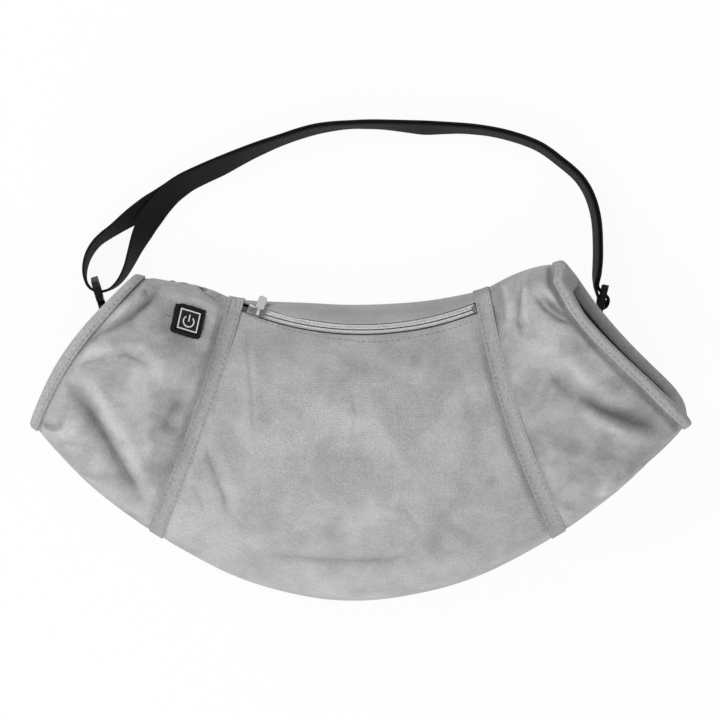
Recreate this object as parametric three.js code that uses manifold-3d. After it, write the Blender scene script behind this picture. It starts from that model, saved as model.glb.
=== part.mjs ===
// Heated hand muff: a fan-shaped plush tube that lies on its back, with a zipped front pocket,
// a push switch, and a webbing strap that hangs on two swivel snap hooks.
// Millimetres. +X runs from the left rim to the right rim, +Y from the bottom edge to the strap,
// +Z from the back of the muff to its front.
import * as THREE from 'three';
import { mergeVertices } from 'three/addons/utils/BufferGeometryUtils.js';
import Module from 'manifold-3d';

const wasm = await Module();
wasm.setup();

// Clearances
const fitGap = 0.3; // between pieces that touch
const turnGap = 0.15; // round a turning pin or shank
const overrun = 2; // how far a cutter runs past what it cuts

// The muff: outline of the fan, and its section from the edge down to the back and up to the front
const muffLength = 430;
const muffHeight = 221.5;
const backDrop = 16;
const frontRise = 38;
const rimDrop = 14;
const leftRimRise = 24;
const rightRimRise = 22;
const leftRimLift = 22.3; // the rims stand clear of the table, which leaves room for the rings and hooks
const rightRimLift = 32;
const endShare = 0.25; // how far the rims' own shape reaches into the length

// Top and bottom edge from rim to rim, as shares of the length and the height
const topShares = [
  [-0.346, 0.457], [-0.271, 0.438], [-0.1885, 0.393], [-0.094, 0.383], [-0.007, 0.376],
  [0.091, 0.386], [0.184, 0.419], [0.25, 0.479], [0.311, 0.497],
];
const bottomShares = [
  [-0.5, 0.029], [-0.415, -0.148], [-0.312, -0.302], [-0.168, -0.444], [-0.013, -0.5],
  [0.151, -0.447], [0.303, -0.302], [0.41, -0.137], [0.5, 0.033],
];
// Sideways bow of a line from top to bottom edge, at the same nine places, as shares of the length
const bowShares = [-0.021, -0.007, 0.008, 0.004, 0, -0.006, -0.016, -0.007, 0];
// The right mouth gapes: the front lip stands back, the back lip bulges low down
const frontLipShares = [0, -0.027, -0.035, -0.033, -0.026, -0.018, -0.009, 0];
const backLipShares = [0, -0.002, -0.004, -0.002, 0.003, 0.012, 0.015, 0];

// Rows across the front: up to the zip as shares of the way and of the zip's height, then below it
const aboveZipShares = [[0, 0], [0.12, 0.45], [0.45, 0.85], [1, 1]];
const belowZipShares = [0, 0.04, 0.12, 0.25, 0.42, 0.6, 0.77, 0.9, 0.97, 1];
const backCells = 10;
// Columns along the length, between the rims and the seams
const leftShares = [0.09, 0.165];
const middleShares = [0.33, 0.39, 0.45, 0.5, 0.55, 0.61, 0.67];
const rightShares = [0.835, 0.91];
const frontFullness = 2.5; // exponents of the section's rounded sides
const backFullness = 4;
const backFlatness = 1.03; // above 1, the middle of the back lies flat on the table

// Layers of the wall, from the outside in
const plushThickness = 2.4;
const pocketRoom = 1.6;
const backingThickness = 0.8;
const waddingThickness = 3;
const padThickness = 0.8;
const liningThickness = 2;
const hemThickness = 0.6; // of the facing at the zip
const backingDepth = plushThickness + pocketRoom;
const pocketWaddingDepth = backingDepth + backingThickness + fitGap;
const waddingDepth = plushThickness + fitGap;
const padDepth = pocketWaddingDepth + waddingThickness + fitGap;
const liningDepth = padDepth + padThickness + fitGap;
const wallThickness = liningDepth + liningThickness;

// Seams and rims
const leftSeamShare = 0.25;
const rightSeamShare = 0.75;
const seamTapeWidth = 10;
const seamTapeThickness = 0.7;
const bindingWidth = 5.5;
const bindingThickness = 1.2;

// The zip: a chord and a sag give the arc that the chain, the pocket edge and the slider share
const zipChordShare = 0.3465; // of the muff's length
const zipSagShare = 0.0637; // of its height, as is the place of the chord
const zipMiddleShare = 0.3007;
const zipHeightShare = 0.566; // the pocket's edge, as a share of the front's rise
const zipMiddleX = 1;
const zipChord = zipChordShare * muffLength;
const zipSag = zipSagShare * muffHeight;
const zipMiddleY = zipMiddleShare * muffHeight;
const zipLevel = backDrop + zipHeightShare * frontRise;
const zipRadius = (zipChord ** 2 / 4 + zipSag ** 2) / (2 * zipSag);
const zipCentre = new THREE.Vector2(zipMiddleX, zipMiddleY + zipRadius);
const mouthAbove = 4.2; // from the chain's middle to the facing, and to the pocket panel
const mouthBelow = 3.4;
const tapeThickness = 0.6;
const tapeDepth = 1;
const chainSlot = 0.7; // between the two rows of teeth, where the slider's post runs
const toothReach = 1.6;
const toothRoot = 1.1;
const toothHeight = 1.2;
const toothPitch = 2;
const toothCount = Math.round(zipChord / toothPitch);

const sliderLength = 9;
const sliderPlate = 0.8;
const noseShare = 0.62; // the slider's ends, as a share of its width
const flangeThickness = 0.7;
const postLength = 3;
const postThickness = 0.4;
const bridgeLength = 7;
const bridgeRise = 3;
const bridgeBar = 1;
const pullLength = 12;
const pullWidth = 5.6;
const pullThickness = 1;
const pullEyeWall = 0.9;
const pullEyeWidth = 1.8;
const pullDroop = 25.5; // degrees below level, over the top edge
const stopLength = 2.4;

// The switch, under a square patch on the left front panel
const switchSide = 20.2;
const switchWindow = 15.6;
const switchTurn = -12; // degrees in plan
const switchLengthShare = 0.1746;
const switchHeightShare = 0.148;
const patchThickness = 1;
const buttonTravel = 0.8;
const buttonThickness = 1.8;
const housingSide = 18.4;
const housingWall = 1.2;
const housingDepth = 6.6;
const boardThickness = 1;
const domeSide = 5;
const leadWidth = 2;

const eyeletRadius = 3.4;
const eyeletBarrel = 2.4;
const eyeletHole = 1.8;
const eyeletThickness = 0.5;
const eyeletShare = 0.31; // of the muff's length, from the left rim

// Strap and its hardware
const webbingWidth = 20;
const webbingThickness = 1.5;
const ringWire = 3;
const ringRadius = 11;
const ringLevel = 8.3;
const leftEyeShare = 0.088; // each swivel eye's place down its rim, and how far it lies outside of it
const rightEyeShare = 0.435;
const leftEyeOut = 15.6;
const rightEyeOut = -14.7;
const leftHookTurn = 16.5; // degrees that each hook leans to the left, and rises towards the strap
const rightHookTurn = 28;
const leftHookSlope = 11.7;
const rightHookSlope = 10;
const tabLength = 24;
const ringPlay = 0.8;
const hookStock = 3;
const hookOpening = 7;
const hookThickness = 5;
const hookThroat = 17; // from the ring's wire to the top of the opening
const collarLength = 4;
const shankRadius = 1.8;
const shankHead = 1.8;
const gateThickness = 3;
const gatePinRadius = 0.8;
const eyeBar = 3;
const eyeSide = 2.2; // the eye's bars at both edges of the webbing
const eyeSlot = 9;
const eyeThickness = 4.6;
const pinSides = 20;

// The adjuster: three bars and two rails
const adjusterShares = [0.553, 2.249]; // its middle, from the right eye, as shares of the eye's slot
const adjusterTurn = -13.4; // degrees from the strap's direction
const adjusterLength = 22;
const adjusterBar = 3;
const adjusterThickness = 2.4;
const railThickness = 3.9;
const railHeight = 2.2;

// The strap's route. Both layers lie side by side from the adjuster to the left loop. Each stop has its
// place, as shares of the way from the adjuster to the left eye along and beside that way, the degrees
// that its upper edge leans outwards, and how far it is lifted, as a share of the webbing's width.
const doubledShares = [
  [0.0105, 0.0523, 7, 0.1], [0.009, 0.0795, 9, 0.05], [0.0095, 0.1158, 9, 0], [0.0139, 0.1637, 9, 0],
  [0.0276, 0.209, 9, 0], [0.0501, 0.2441, 9, 0], [0.0864, 0.2747, 9, 0], [0.1287, 0.3037, 9, 0],
  [0.1765, 0.3214, 9, 0], [0.2299, 0.3329, 9, 0], [0.2895, 0.3376, 11, 0], [0.3586, 0.337, 18, 0],
  [0.4379, 0.3413, 9, 0], [0.507, 0.3398, 6, 0], [0.5759, 0.3292, 11, 0], [0.6445, 0.3059, 13, 0],
  [0.7032, 0.2811, 21, 0], [0.762, 0.252, 31, 0], [0.8206, 0.2235, 34, 0], [0.845, 0.2076, 38, 0],
  [0.8673, 0.1893, 44, 0],
];
// From the doubled stretch down the inner leg, through the left eye and up the outer leg: places from
// the middle of the eye's slot, as shares of the slot
const loopShares = [
  [3.904, 5.324, 46, 0], [3.248, 4.168, 38, 0], [2.715, 2.968, 24, 0.03], [2.226, 1.735, 13, 0.09],
  [1.626, 0.713, 6, 0.14], [0.893, 0.079, 0, 0.175], [0.026, -0.099, 0, 0.19],
  [-0.552, 0.168, 0, 0.17], [-0.885, 0.746, 0, 0.14], [-0.93, 1.635, -5, 0.09],
  [-0.641, 2.635, -10, 0.03], [0.015, 3.568, -14, 0], [1.182, 4.435, -20, 0], [2.515, 5.39, -32, 0],
  [3.737, 6.224, -38, 0],
];
// Places down the adjuster and outwards from it, as shares of its length: the sewn end folds round the
// middle bar
const foldShares = [
  [-0.064, 0.105], [0.041, 0.105], [0.118, 0.073], [0.145, 0], [0.118, -0.073], [0.041, -0.105],
  [-0.091, -0.123], [-0.255, -0.223], [-0.432, -0.314],
];
// The long run passes inside the upper bar, over the middle bar and inside the lower bar
const weaveShares = [
  [-0.432, -0.223], [-0.323, -0.145], [-0.255, -0.036], [-0.209, 0.068], [-0.132, 0.164], [0, 0.2],
  [0.136, 0.168], [0.223, 0.073], [0.268, -0.032], [0.323, -0.109], [0.432, -0.136], [0.545, -0.118],
];
// Round the right eye, to the end that is sewn to the run above it: places from the middle of the
// eye's slot, as shares of the slot
const endShares = [
  [0.176, 0.583], [0.409, 0.272], [0.276, -0.006], [-0.236, -0.239], [-0.636, -0.039], [-0.836, 0.472],
  [-0.802, 0.961], [-0.524, 1.272], [-0.28, 1.405],
];
const endLift = 2.9;
const layerGap = 0.4; // between the two layers of the strap

function finish(color, roughness = 0.95, metalness = 0) {
  return new THREE.MeshStandardMaterial({ color, roughness, metalness });
}

const plush = finish(0xb4b4b5);
const knit = finish(0xa9a9aa);
const facing = finish(0x9b9b9c);
const trim = finish(0xa2a2a3, 0.8);
const blackWebbing = finish(0x2b2b2d, 0.8);
const blackPlastic = finish(0x1f1f21, 0.45);
const nickel = finish(0x8f8f92, 0.35, 0.9);
const paleMetal = finish(0xc0c0c2, 0.35, 0.8);
const whiteWadding = finish(0xe9e7e2, 1);
const heaterFilm = finish(0x5a3d2c, 0.6);
const boardGreen = finish(0x2f6b45, 0.6);

// Closed meshes and solids
function solidOf(geometry) {
  const bare = geometry.clone();
  bare.deleteAttribute('normal');
  bare.deleteAttribute('uv');
  const merged = mergeVertices(bare, 1e-5);
  const vertProperties = new Float32Array(merged.attributes.position.array);
  const triVerts = new Uint32Array(merged.index.array);
  return new wasm.Manifold(new wasm.Mesh({ numProp: 3, vertProperties, triVerts }));
}

function geometryOf(solid) {
  const mesh = solid.getMesh();
  const geometry = new THREE.BufferGeometry();
  geometry.setAttribute('position', new THREE.BufferAttribute(new Float32Array(mesh.vertProperties), 3));
  geometry.setIndex(new THREE.BufferAttribute(new Uint32Array(mesh.triVerts), 1));
  geometry.computeVertexNormals();
  return geometry;
}

function cut(geometry, ...cutters) {
  return geometryOf(cutters.reduce((left, cutter) => left.subtract(solidOf(cutter)), solidOf(geometry)));
}

function join(geometry, ...others) {
  return geometryOf(others.reduce((whole, other) => whole.add(solidOf(other)), solidOf(geometry)));
}

function raised(outline, depth) {
  return new THREE.ExtrudeGeometry(outline, { depth, bevelEnabled: false });
}

// Rings of points, joined one to the next: closed ends, or a loop that meets itself
function loftRings(rings, looped = false) {
  const points = rings.flat();
  const around = rings[0].length;
  const index = [];
  const spans = looped ? rings.length : rings.length - 1;
  for (let ring = 0; ring < spans; ring += 1) {
    const here = ring * around;
    const next = ((ring + 1) % rings.length) * around;
    for (let side = 0; side < around; side += 1) {
      const other = (side + 1) % around;
      index.push(here + side, here + other, next + other, here + side, next + other, next + side);
    }
  }
  if (!looped) {
    const last = (rings.length - 1) * around;
    for (let side = 1; side < around - 1; side += 1) {
      index.push(0, side + 1, side, last, last + side, last + side + 1);
    }
  }
  return facingOut(points, index);
}

function facingOut(points, index) {
  let volume = 0;
  for (let corner = 0; corner < index.length; corner += 3) {
    const [a, b, c] = [points[index[corner]], points[index[corner + 1]], points[index[corner + 2]]];
    volume += a.dot(new THREE.Vector3().crossVectors(b, c));
  }
  if (volume < 0) index.reverse();
  const geometry = new THREE.BufferGeometry().setFromPoints(points);
  geometry.setIndex(index);
  geometry.computeVertexNormals();
  return geometry;
}

// A sheet with an outer and an inner grid of points and a wall round its border
function closedSheet(outer, inner) {
  const rows = outer.length;
  const columns = outer[0].length;
  const points = [...outer.flat(), ...inner.flat()];
  const at = (side, row, column) => (side * rows + row) * columns + column;
  const index = [];
  const quad = (a, b, c, d) => index.push(a, b, c, a, c, d);
  for (let row = 0; row < rows - 1; row += 1) {
    for (let column = 0; column < columns - 1; column += 1) {
      quad(at(0, row, column), at(0, row, column + 1), at(0, row + 1, column + 1), at(0, row + 1, column));
      quad(at(1, row, column), at(1, row + 1, column), at(1, row + 1, column + 1), at(1, row, column + 1));
    }
  }
  const border = [];
  for (let column = 0; column < columns - 1; column += 1) border.push([0, column]);
  for (let row = 0; row < rows - 1; row += 1) border.push([row, columns - 1]);
  for (let column = columns - 1; column > 0; column -= 1) border.push([rows - 1, column]);
  for (let row = rows - 1; row > 0; row -= 1) border.push([row, 0]);
  border.forEach(([row, column], place) => {
    const [nextRow, nextColumn] = border[(place + 1) % border.length];
    quad(at(1, row, column), at(1, nextRow, nextColumn), at(0, nextRow, nextColumn), at(0, row, column));
  });
  return facingOut(points, index);
}

// The muff's surface
const edgeCurve = (shares) => new THREE.SplineCurve(
  shares.map(([x, y]) => new THREE.Vector2(x * muffLength, y * muffHeight)),
);
const topEdge = edgeCurve(topShares);
const bottomEdge = edgeCurve(bottomShares);

function along(shares, place) {
  const spot = THREE.MathUtils.clamp(place, 0, 1) * (shares.length - 1);
  const first = Math.min(Math.floor(spot), shares.length - 2);
  const step = THREE.MathUtils.smoothstep(spot - first, 0, 1);
  return THREE.MathUtils.lerp(shares[first], shares[first + 1], step);
}

const nearLeft = (u) => 1 - THREE.MathUtils.smoothstep(u, 0, endShare);
const nearRight = (u) => THREE.MathUtils.smoothstep(u, 1 - endShare, 1);
const climbTo = (share) => Math.sin(Math.PI / 2 * Math.max(0, 1 - share / endShare));
const liftAt = (u) => leftRimLift * climbTo(u) + rightRimLift * climbTo(1 - u);
const dropAt = (u) => backDrop + (rimDrop - backDrop) * (nearLeft(u) + nearRight(u));
const riseAt = (u) => frontRise + (leftRimRise - frontRise) * nearLeft(u)
  + (rightRimRise - frontRise) * nearRight(u);

// A place in the fan, as seen from the front. A row keeps its own bow at every depth.
function planPoint(u, share, front, rowShare = share) {
  const point = topEdge.getPoint(u).lerp(bottomEdge.getPoint(u), share);
  const lips = front ? frontLipShares : backLipShares;
  const bow = along(bowShares, u) * Math.sin(Math.PI * rowShare);
  const lip = along(lips, rowShare) * nearRight(u) ** 2;
  point.x += (bow + lip) * muffLength;
  return point;
}

// The share of the way from top to bottom edge at which a section crosses an arc round the zip's centre
const zipSearchShare = 0.3;
function shareAtRadius(u, radius) {
  let low = 0;
  let high = zipSearchShare;
  for (let step = 0; step < 40; step += 1) {
    const middle = (low + high) / 2;
    if (planPoint(u, middle, true).distanceTo(zipCentre) < radius) low = middle;
    else high = middle;
  }
  return low;
}

const roundSide = (share, fullness) => (1 - Math.abs(1 - 2 * share) ** fullness) ** (1 / fullness);
const frontRows = aboveZipShares.length + belowZipShares.length;

function frontRow(u, row) {
  const inPocket = THREE.MathUtils.clamp(u, leftSeamShare, rightSeamShare);
  const upper = shareAtRadius(inPocket, zipRadius - mouthAbove);
  const lower = shareAtRadius(inPocket, zipRadius + mouthBelow);
  const below = row - aboveZipShares.length;
  const share = below < 0 ? aboveZipShares[row][0] * upper : lower + (1 - lower) * belowZipShares[below];
  const crown = roundSide(share, frontFullness);
  const climb = Math.sin(Math.PI / 2 * Math.min(1, (share - lower) / (0.5 - lower)));
  const ledgeHeight = below < 0 ? aboveZipShares[row][1] * zipHeightShare
    : zipHeightShare + (1 - zipHeightShare) * climb;
  const ledge = share > 0.5 ? crown : ledgeHeight;
  const fade = THREE.MathUtils.smoothstep(Math.abs(u - inPocket), 0, endShare / 2);
  return [share, THREE.MathUtils.lerp(ledge, crown, fade)];
}

function backRow(u, row) {
  const turn = Math.PI * row / backCells;
  const across = Math.sign(Math.cos(turn)) * Math.abs(Math.cos(turn)) ** (2 / backFullness);
  return [(1 - across) / 2, Math.min(1, backFlatness * Math.abs(Math.sin(turn)) ** (2 / backFullness))];
}

// A point of the muff's wall, at a depth under its outer face
function wallPoint(u, row, depth, front) {
  const [share, height] = front ? frontRow(u, row) : backRow(u, row);
  const half = topEdge.getPoint(u).distanceTo(bottomEdge.getPoint(u)) / 2;
  const across = (1 - 2 * share) * (half - depth) / half;
  const plan = planPoint(u, (1 - across) / 2, front, share);
  const edge = liftAt(u) + dropAt(u);
  const sink = Math.min(1, height / zipHeightShare) * depth;
  const level = front ? edge + riseAt(u) * height - sink + fitGap / 2
    : edge - (dropAt(u) - depth) * height - fitGap / 2;
  return new THREE.Vector3(plan.x, plan.y, level);
}

// A column is a place along the length and a distance from it, the same in every row
const stepShare = 0.01;
function columnPlace(column, row, front) {
  const [share] = front ? frontRow(column.at, row) : backRow(column.at, row);
  const from = Math.min(column.at, 1 - stepShare);
  const ahead = planPoint(from + stepShare, share, front);
  const speed = planPoint(from, share, front).distanceTo(ahead) / stepShare;
  return THREE.MathUtils.clamp(column.at + column.by / speed, 0, 1);
}

const column = (at, by = 0) => ({ at, by });
const span = (rows) => Array.from({ length: rows[1] - rows[0] + 1 }, (_, step) => rows[0] + step);

function layer(columns, rows, outerDepth, innerDepth, front = true) {
  const depthOf = (depth, spot, row) => (typeof depth === 'function' ? depth(spot, row) : depth);
  const grid = (depth) => span(rows).map((row) => columns.map((spot) => (
    wallPoint(columnPlace(spot, row, front), row, depthOf(depth, spot, row), front))));
  return closedSheet(grid(outerDepth), grid(innerDepth));
}

const rimInset = bindingThickness + 2 * fitGap;
const tapeHalf = seamTapeWidth / 2;
const seamHalf = fitGap / 2;
const leftColumns = [column(0, rimInset), column(0, bindingWidth), ...leftShares.map((at) => column(at)),
  column(leftSeamShare, -tapeHalf), column(leftSeamShare, -seamHalf)];
const middleColumns = [column(leftSeamShare, seamHalf), column(leftSeamShare, tapeHalf),
  ...middleShares.map((at) => column(at)),
  column(rightSeamShare, -tapeHalf), column(rightSeamShare, -seamHalf)];
const rightColumns = [column(rightSeamShare, seamHalf), column(rightSeamShare, tapeHalf),
  ...rightShares.map((at) => column(at)), column(1, -bindingWidth), column(1, -rimInset)];
const allColumns = [...leftColumns, ...middleColumns.slice(1, -1), ...rightColumns];
const lastFront = frontRows - 1;
const allFront = [0, lastFront];
const allBack = [0, backCells];
const facingRows = [0, aboveZipShares.length - 1];
const pocketRows = [aboveZipShares.length, lastFront];

const group = new THREE.Group();
function piece(name, geometry, material) {
  const mesh = new THREE.Mesh(geometry, material);
  mesh.name = name;
  group.add(mesh);
  return mesh;
}

// The switch's own axes: across, down the front, and out of the surface
function switchFrame() {
  const spot = (u, share) => {
    const rows = span(allFront).map((row) => frontRow(u, row));
    const next = Math.max(1, rows.findIndex(([here]) => here > share));
    const step = (share - rows[next - 1][0]) / (rows[next][0] - rows[next - 1][0]);
    return wallPoint(u, next - 1, 0, true).lerp(wallPoint(u, next, 0, true), step);
  };
  const half = housingSide / 2;
  const origin = spot(switchLengthShare, switchHeightShare);
  const stepShare = half / muffHeight;
  const across = spot(switchLengthShare + stepShare / 2, switchHeightShare)
    .sub(spot(switchLengthShare - stepShare / 2, switchHeightShare));
  const up = spot(switchLengthShare, switchHeightShare - stepShare)
    .sub(spot(switchLengthShare, switchHeightShare + stepShare));
  const out = new THREE.Vector3().crossVectors(across, up).normalize();
  const turn = THREE.MathUtils.degToRad(switchTurn);
  const side = new THREE.Vector3(Math.cos(turn), Math.sin(turn), 0);
  const top = new THREE.Vector3().crossVectors(out, side).normalize();
  side.crossVectors(top, out);
  return new THREE.Matrix4().makeBasis(side, top, out).setPosition(origin);
}
const switchPlace = switchFrame();

function switchBlock(sideLength, low, high, corner = 0) {
  const half = sideLength / 2;
  const outline = new THREE.Shape();
  outline.moveTo(-half + corner, -half);
  outline.lineTo(half - corner, -half);
  outline.lineTo(half, -half + corner);
  outline.lineTo(half, half - corner);
  outline.lineTo(half - corner, half);
  outline.lineTo(-half + corner, half);
  outline.lineTo(-half, half - corner);
  outline.lineTo(-half, -half + corner);
  const block = new THREE.ExtrudeGeometry(outline, { depth: high - low, bevelEnabled: false });
  return block.translate(0, 0, low).applyMatrix4(switchPlace);
}

// The heater's lead, from the switch to the pad, between the layers
const padColumns = middleShares.map((at) => column(at));
const padRows = [aboveZipShares.length + 3, aboveZipShares.length + 6];
const leadRadius = leadWidth / 2;
const leadDepth = pocketWaddingDepth + waddingThickness / 2;
const housingInside = housingSide - 2 * housingWall;
const housingFloor = -housingDepth + housingWall;
function leadRoute() {
  const level = housingFloor + leadRadius + fitGap;
  const start = new THREE.Vector3(housingInside / 2 + fitGap, 0, level).applyMatrix4(switchPlace);
  const clear = new THREE.Vector3(housingSide / 2 + leadWidth, 0, level - leadRadius)
    .applyMatrix4(switchPlace);
  const rowBelow = padRows[0];
  const places = [-endShare / 5, 0, endShare / 5].map((step) => [leftSeamShare + step, rowBelow]);
  const middle = places.map(([u, row]) => wallPoint(u, row, leadDepth, true));
  const end = wallPoint(padColumns[0].at, rowBelow + 1, padDepth + padThickness - leadRadius, true);
  end.x -= leadRadius + fitGap;
  return new THREE.CatmullRomCurve3([start, clear, ...middle, end], false, 'chordal');
}
function tubeAlong(curve, radius, steps, sides) {
  const frames = curve.computeFrenetFrames(steps, false);
  const rings = Array.from({ length: steps + 1 }, (_, step) => {
    const centre = curve.getPointAt(step / steps);
    return Array.from({ length: sides }, (__, side) => {
      const turn = 2 * Math.PI * side / sides;
      return centre.clone().addScaledVector(frames.normals[step], radius * Math.cos(turn))
        .addScaledVector(frames.binormals[step], radius * Math.sin(turn));
    });
  });
  return loftRings(rings);
}
const leadCurve = leadRoute();
const leadChannel = tubeAlong(leadCurve, leadRadius + fitGap, 12, 6);
const housingRecess = switchBlock(housingSide + 2 * fitGap, -housingDepth - fitGap, housingDepth);

// Eyelet in the pocket's backing, where the supply lead comes through: its own axis points out of it
function eyeletFrame() {
  const spot = wallPoint(eyeletShare, padRows[1] + 1, backingDepth, true);
  const next = wallPoint(eyeletShare, padRows[1] + 2, backingDepth, true);
  const beside = wallPoint(padColumns[0].at, padRows[1] + 1, backingDepth, true);
  const out = new THREE.Vector3().crossVectors(next.sub(spot), beside.sub(spot)).normalize();
  const turn = new THREE.Quaternion().setFromUnitVectors(new THREE.Vector3(0, 1, 0), out);
  return new THREE.Matrix4().makeRotationFromQuaternion(turn).setPosition(spot);
}
const eyeletPlace = eyeletFrame();
const eyeletRoom = eyeletBarrel + fitGap;
const eyeletBore = new THREE.CylinderGeometry(eyeletRoom, eyeletRoom, 2 * overrun, pinSides)
  .applyMatrix4(eyeletPlace);

// Outer panels
piece('back_panel', layer(allColumns, allBack, 0, plushThickness, false), plush);
piece('left_front_panel', cut(layer(leftColumns, allFront, 0, plushThickness), housingRecess), plush);
piece('right_front_panel', layer(rightColumns, allFront, 0, plushThickness), plush);
piece('pocket_panel', layer(middleColumns, pocketRows, 0, plushThickness), knit);
const facingUnder = (spot, row) => (row === facingRows[1] ? hemThickness : plushThickness);
piece('top_facing', layer(middleColumns, facingRows, 0, facingUnder), facing);
piece('pocket_backing', cut(layer(middleColumns, [facingRows[1], lastFront], backingDepth,
  backingDepth + backingThickness), eyeletBore), knit);

// Warm layers and lining
const inPocket = (spot) => spot.at >= leftSeamShare && spot.at <= rightSeamShare
  && !(spot.at === leftSeamShare && spot.by === -tapeHalf)
  && !(spot.at === rightSeamShare && spot.by === tapeHalf);
const overPad = (spot, row) => spot.at >= padColumns[0].at && spot.at <= padColumns.at(-1).at
  && row >= padRows[0] && row <= padRows[1];
const waddingTop = (spot) => (inPocket(spot) ? pocketWaddingDepth : waddingDepth);
const waddingUnder = (spot, row) => (overPad(spot, row) ? padDepth - fitGap : liningDepth - fitGap);
const frontWadding = layer(allColumns, allFront, waddingTop, waddingUnder);
piece('front_wadding', cut(frontWadding, housingRecess, leadChannel),
  whiteWadding);
piece('back_wadding', layer(allColumns, allBack, waddingDepth, liningDepth - fitGap, false), whiteWadding);
// The lining is sewn from three panels in front and three behind, with its seams under the outer ones
function liningPanels(side, columns) {
  piece(`${side}_front_lining`, layer(columns, allFront, liningDepth, wallThickness), plush);
  piece(`${side}_back_lining`, layer(columns, allBack, liningDepth, wallThickness, false), plush);
}
liningPanels('left', leftColumns);
liningPanels('middle', middleColumns);
liningPanels('right', rightColumns);
piece('heating_pad', layer(padColumns, padRows, padDepth, padDepth + padThickness), heaterFilm);
piece('heater_lead', tubeAlong(leadCurve, leadRadius, 12, 6), blackPlastic);

// Seam tapes and rim bindings
function seamTape(at) {
  const columns = [column(at, -tapeHalf), column(at), column(at, tapeHalf)];
  return layer(columns, allFront, -seamTapeThickness - fitGap, -fitGap);
}
piece('left_seam_tape', seamTape(leftSeamShare), trim);
piece('right_seam_tape', seamTape(rightSeamShare), trim);

function rimBinding(at, inward) {
  const outside = -bindingThickness - fitGap;
  const inside = wallThickness + fitGap;
  const profile = [[bindingWidth, outside], [0, outside], [0, inside + bindingThickness],
    [bindingWidth, inside + bindingThickness], [bindingWidth, inside], [bindingThickness, inside],
    [bindingThickness, -fitGap], [bindingWidth, -fitGap]];
  const ring = (row, front) => profile.map(([from, depth]) => (
    wallPoint(columnPlace(column(at, inward * from), row, front), row, depth, front)));
  const rings = span(allFront).map((row) => ring(row, true));
  span([1, backCells - 1]).reverse().forEach((row) => rings.push(ring(row, false)));
  return loftRings(rings, true);
}
piece('left_rim_binding', rimBinding(0, 1), trim);
piece('right_rim_binding', rimBinding(1, -1), trim);

// Zip
const halfTurn = Math.asin(zipChord / 2 / zipRadius);
const turnOf = (length) => length / zipRadius;
const zipPoint = (turn, radius) => new THREE.Vector2(
  zipCentre.x + radius * Math.sin(turn),
  zipCentre.y - radius * Math.cos(turn),
);
function arcBand(fromRadius, toRadius, fromTurn, toTurn, low, high, steps) {
  const outline = [];
  for (let step = 0; step <= steps; step += 1) {
    outline.push(zipPoint(THREE.MathUtils.lerp(fromTurn, toTurn, step / steps), fromRadius));
  }
  for (let step = steps; step >= 0; step -= 1) {
    outline.push(zipPoint(THREE.MathUtils.lerp(fromTurn, toTurn, step / steps), toRadius));
  }
  const band = raised(new THREE.Shape(outline), high - low);
  return band.translate(0, 0, low);
}
const tapeTop = zipLevel - tapeDepth;
const toothBottom = tapeTop + fitGap;
const toothTop = toothBottom + toothHeight;
const mouthPlay = 3 * fitGap;
const tapeInner = chainSlot / 2 + fitGap;
const tapeSteps = 24;
const zipTape = (side, width) => arcBand(zipRadius + side * tapeInner, zipRadius + side * (width - mouthPlay),
  -halfTurn, halfTurn, tapeTop - tapeThickness, tapeTop, tapeSteps);
piece('zip_upper_tape', zipTape(-1, mouthAbove), trim);
piece('zip_lower_tape', zipTape(1, mouthBelow), trim);

function teeth(side) {
  const inner = zipRadius + side * chainSlot / 2;
  const pitch = 2 * (halfTurn - turnOf(stopLength + fitGap)) / toothCount;
  const end = pitch * toothCount / 2;
  const outline = [zipPoint(-end, inner), zipPoint(0, inner), zipPoint(end, inner)];
  for (let tooth = toothCount - 1; tooth >= 0; tooth -= 1) {
    const start = (tooth - toothCount / 2) * pitch;
    outline.push(zipPoint(start + pitch, inner + side * toothReach));
    outline.push(zipPoint(start + pitch / 2, inner + side * toothReach));
    outline.push(zipPoint(start + pitch / 2, inner + side * toothRoot));
    outline.push(zipPoint(start, inner + side * toothRoot));
  }
  for (let step = 1; step < tapeSteps / 2; step += 1) {
    const turn = pitch * toothCount / 2;
    outline.splice(step, 0, zipPoint(THREE.MathUtils.lerp(-turn, 0, 2 * step / tapeSteps), inner));
    const along = THREE.MathUtils.lerp(0, turn, 2 * step / tapeSteps);
    outline.splice(-toothCount * 4 - 1, 0, zipPoint(along, inner));
  }
  const row = raised(new THREE.Shape(outline), toothHeight);
  return row.translate(0, 0, toothBottom);
}
piece('zip_upper_teeth', teeth(-1), trim);
piece('zip_lower_teeth', teeth(1), trim);

const stopHalf = chainSlot / 2 + toothReach;
const endStop = (turn) => arcBand(zipRadius - stopHalf, zipRadius + stopHalf, turn - turnOf(stopLength / 2),
  turn + turnOf(stopLength / 2), toothBottom, toothTop, 1);
piece('zip_closed_stop', endStop(-halfTurn + turnOf(stopLength / 2)), nickel);
piece('zip_open_stop', endStop(halfTurn - turnOf(stopLength / 2)), nickel);

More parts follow.
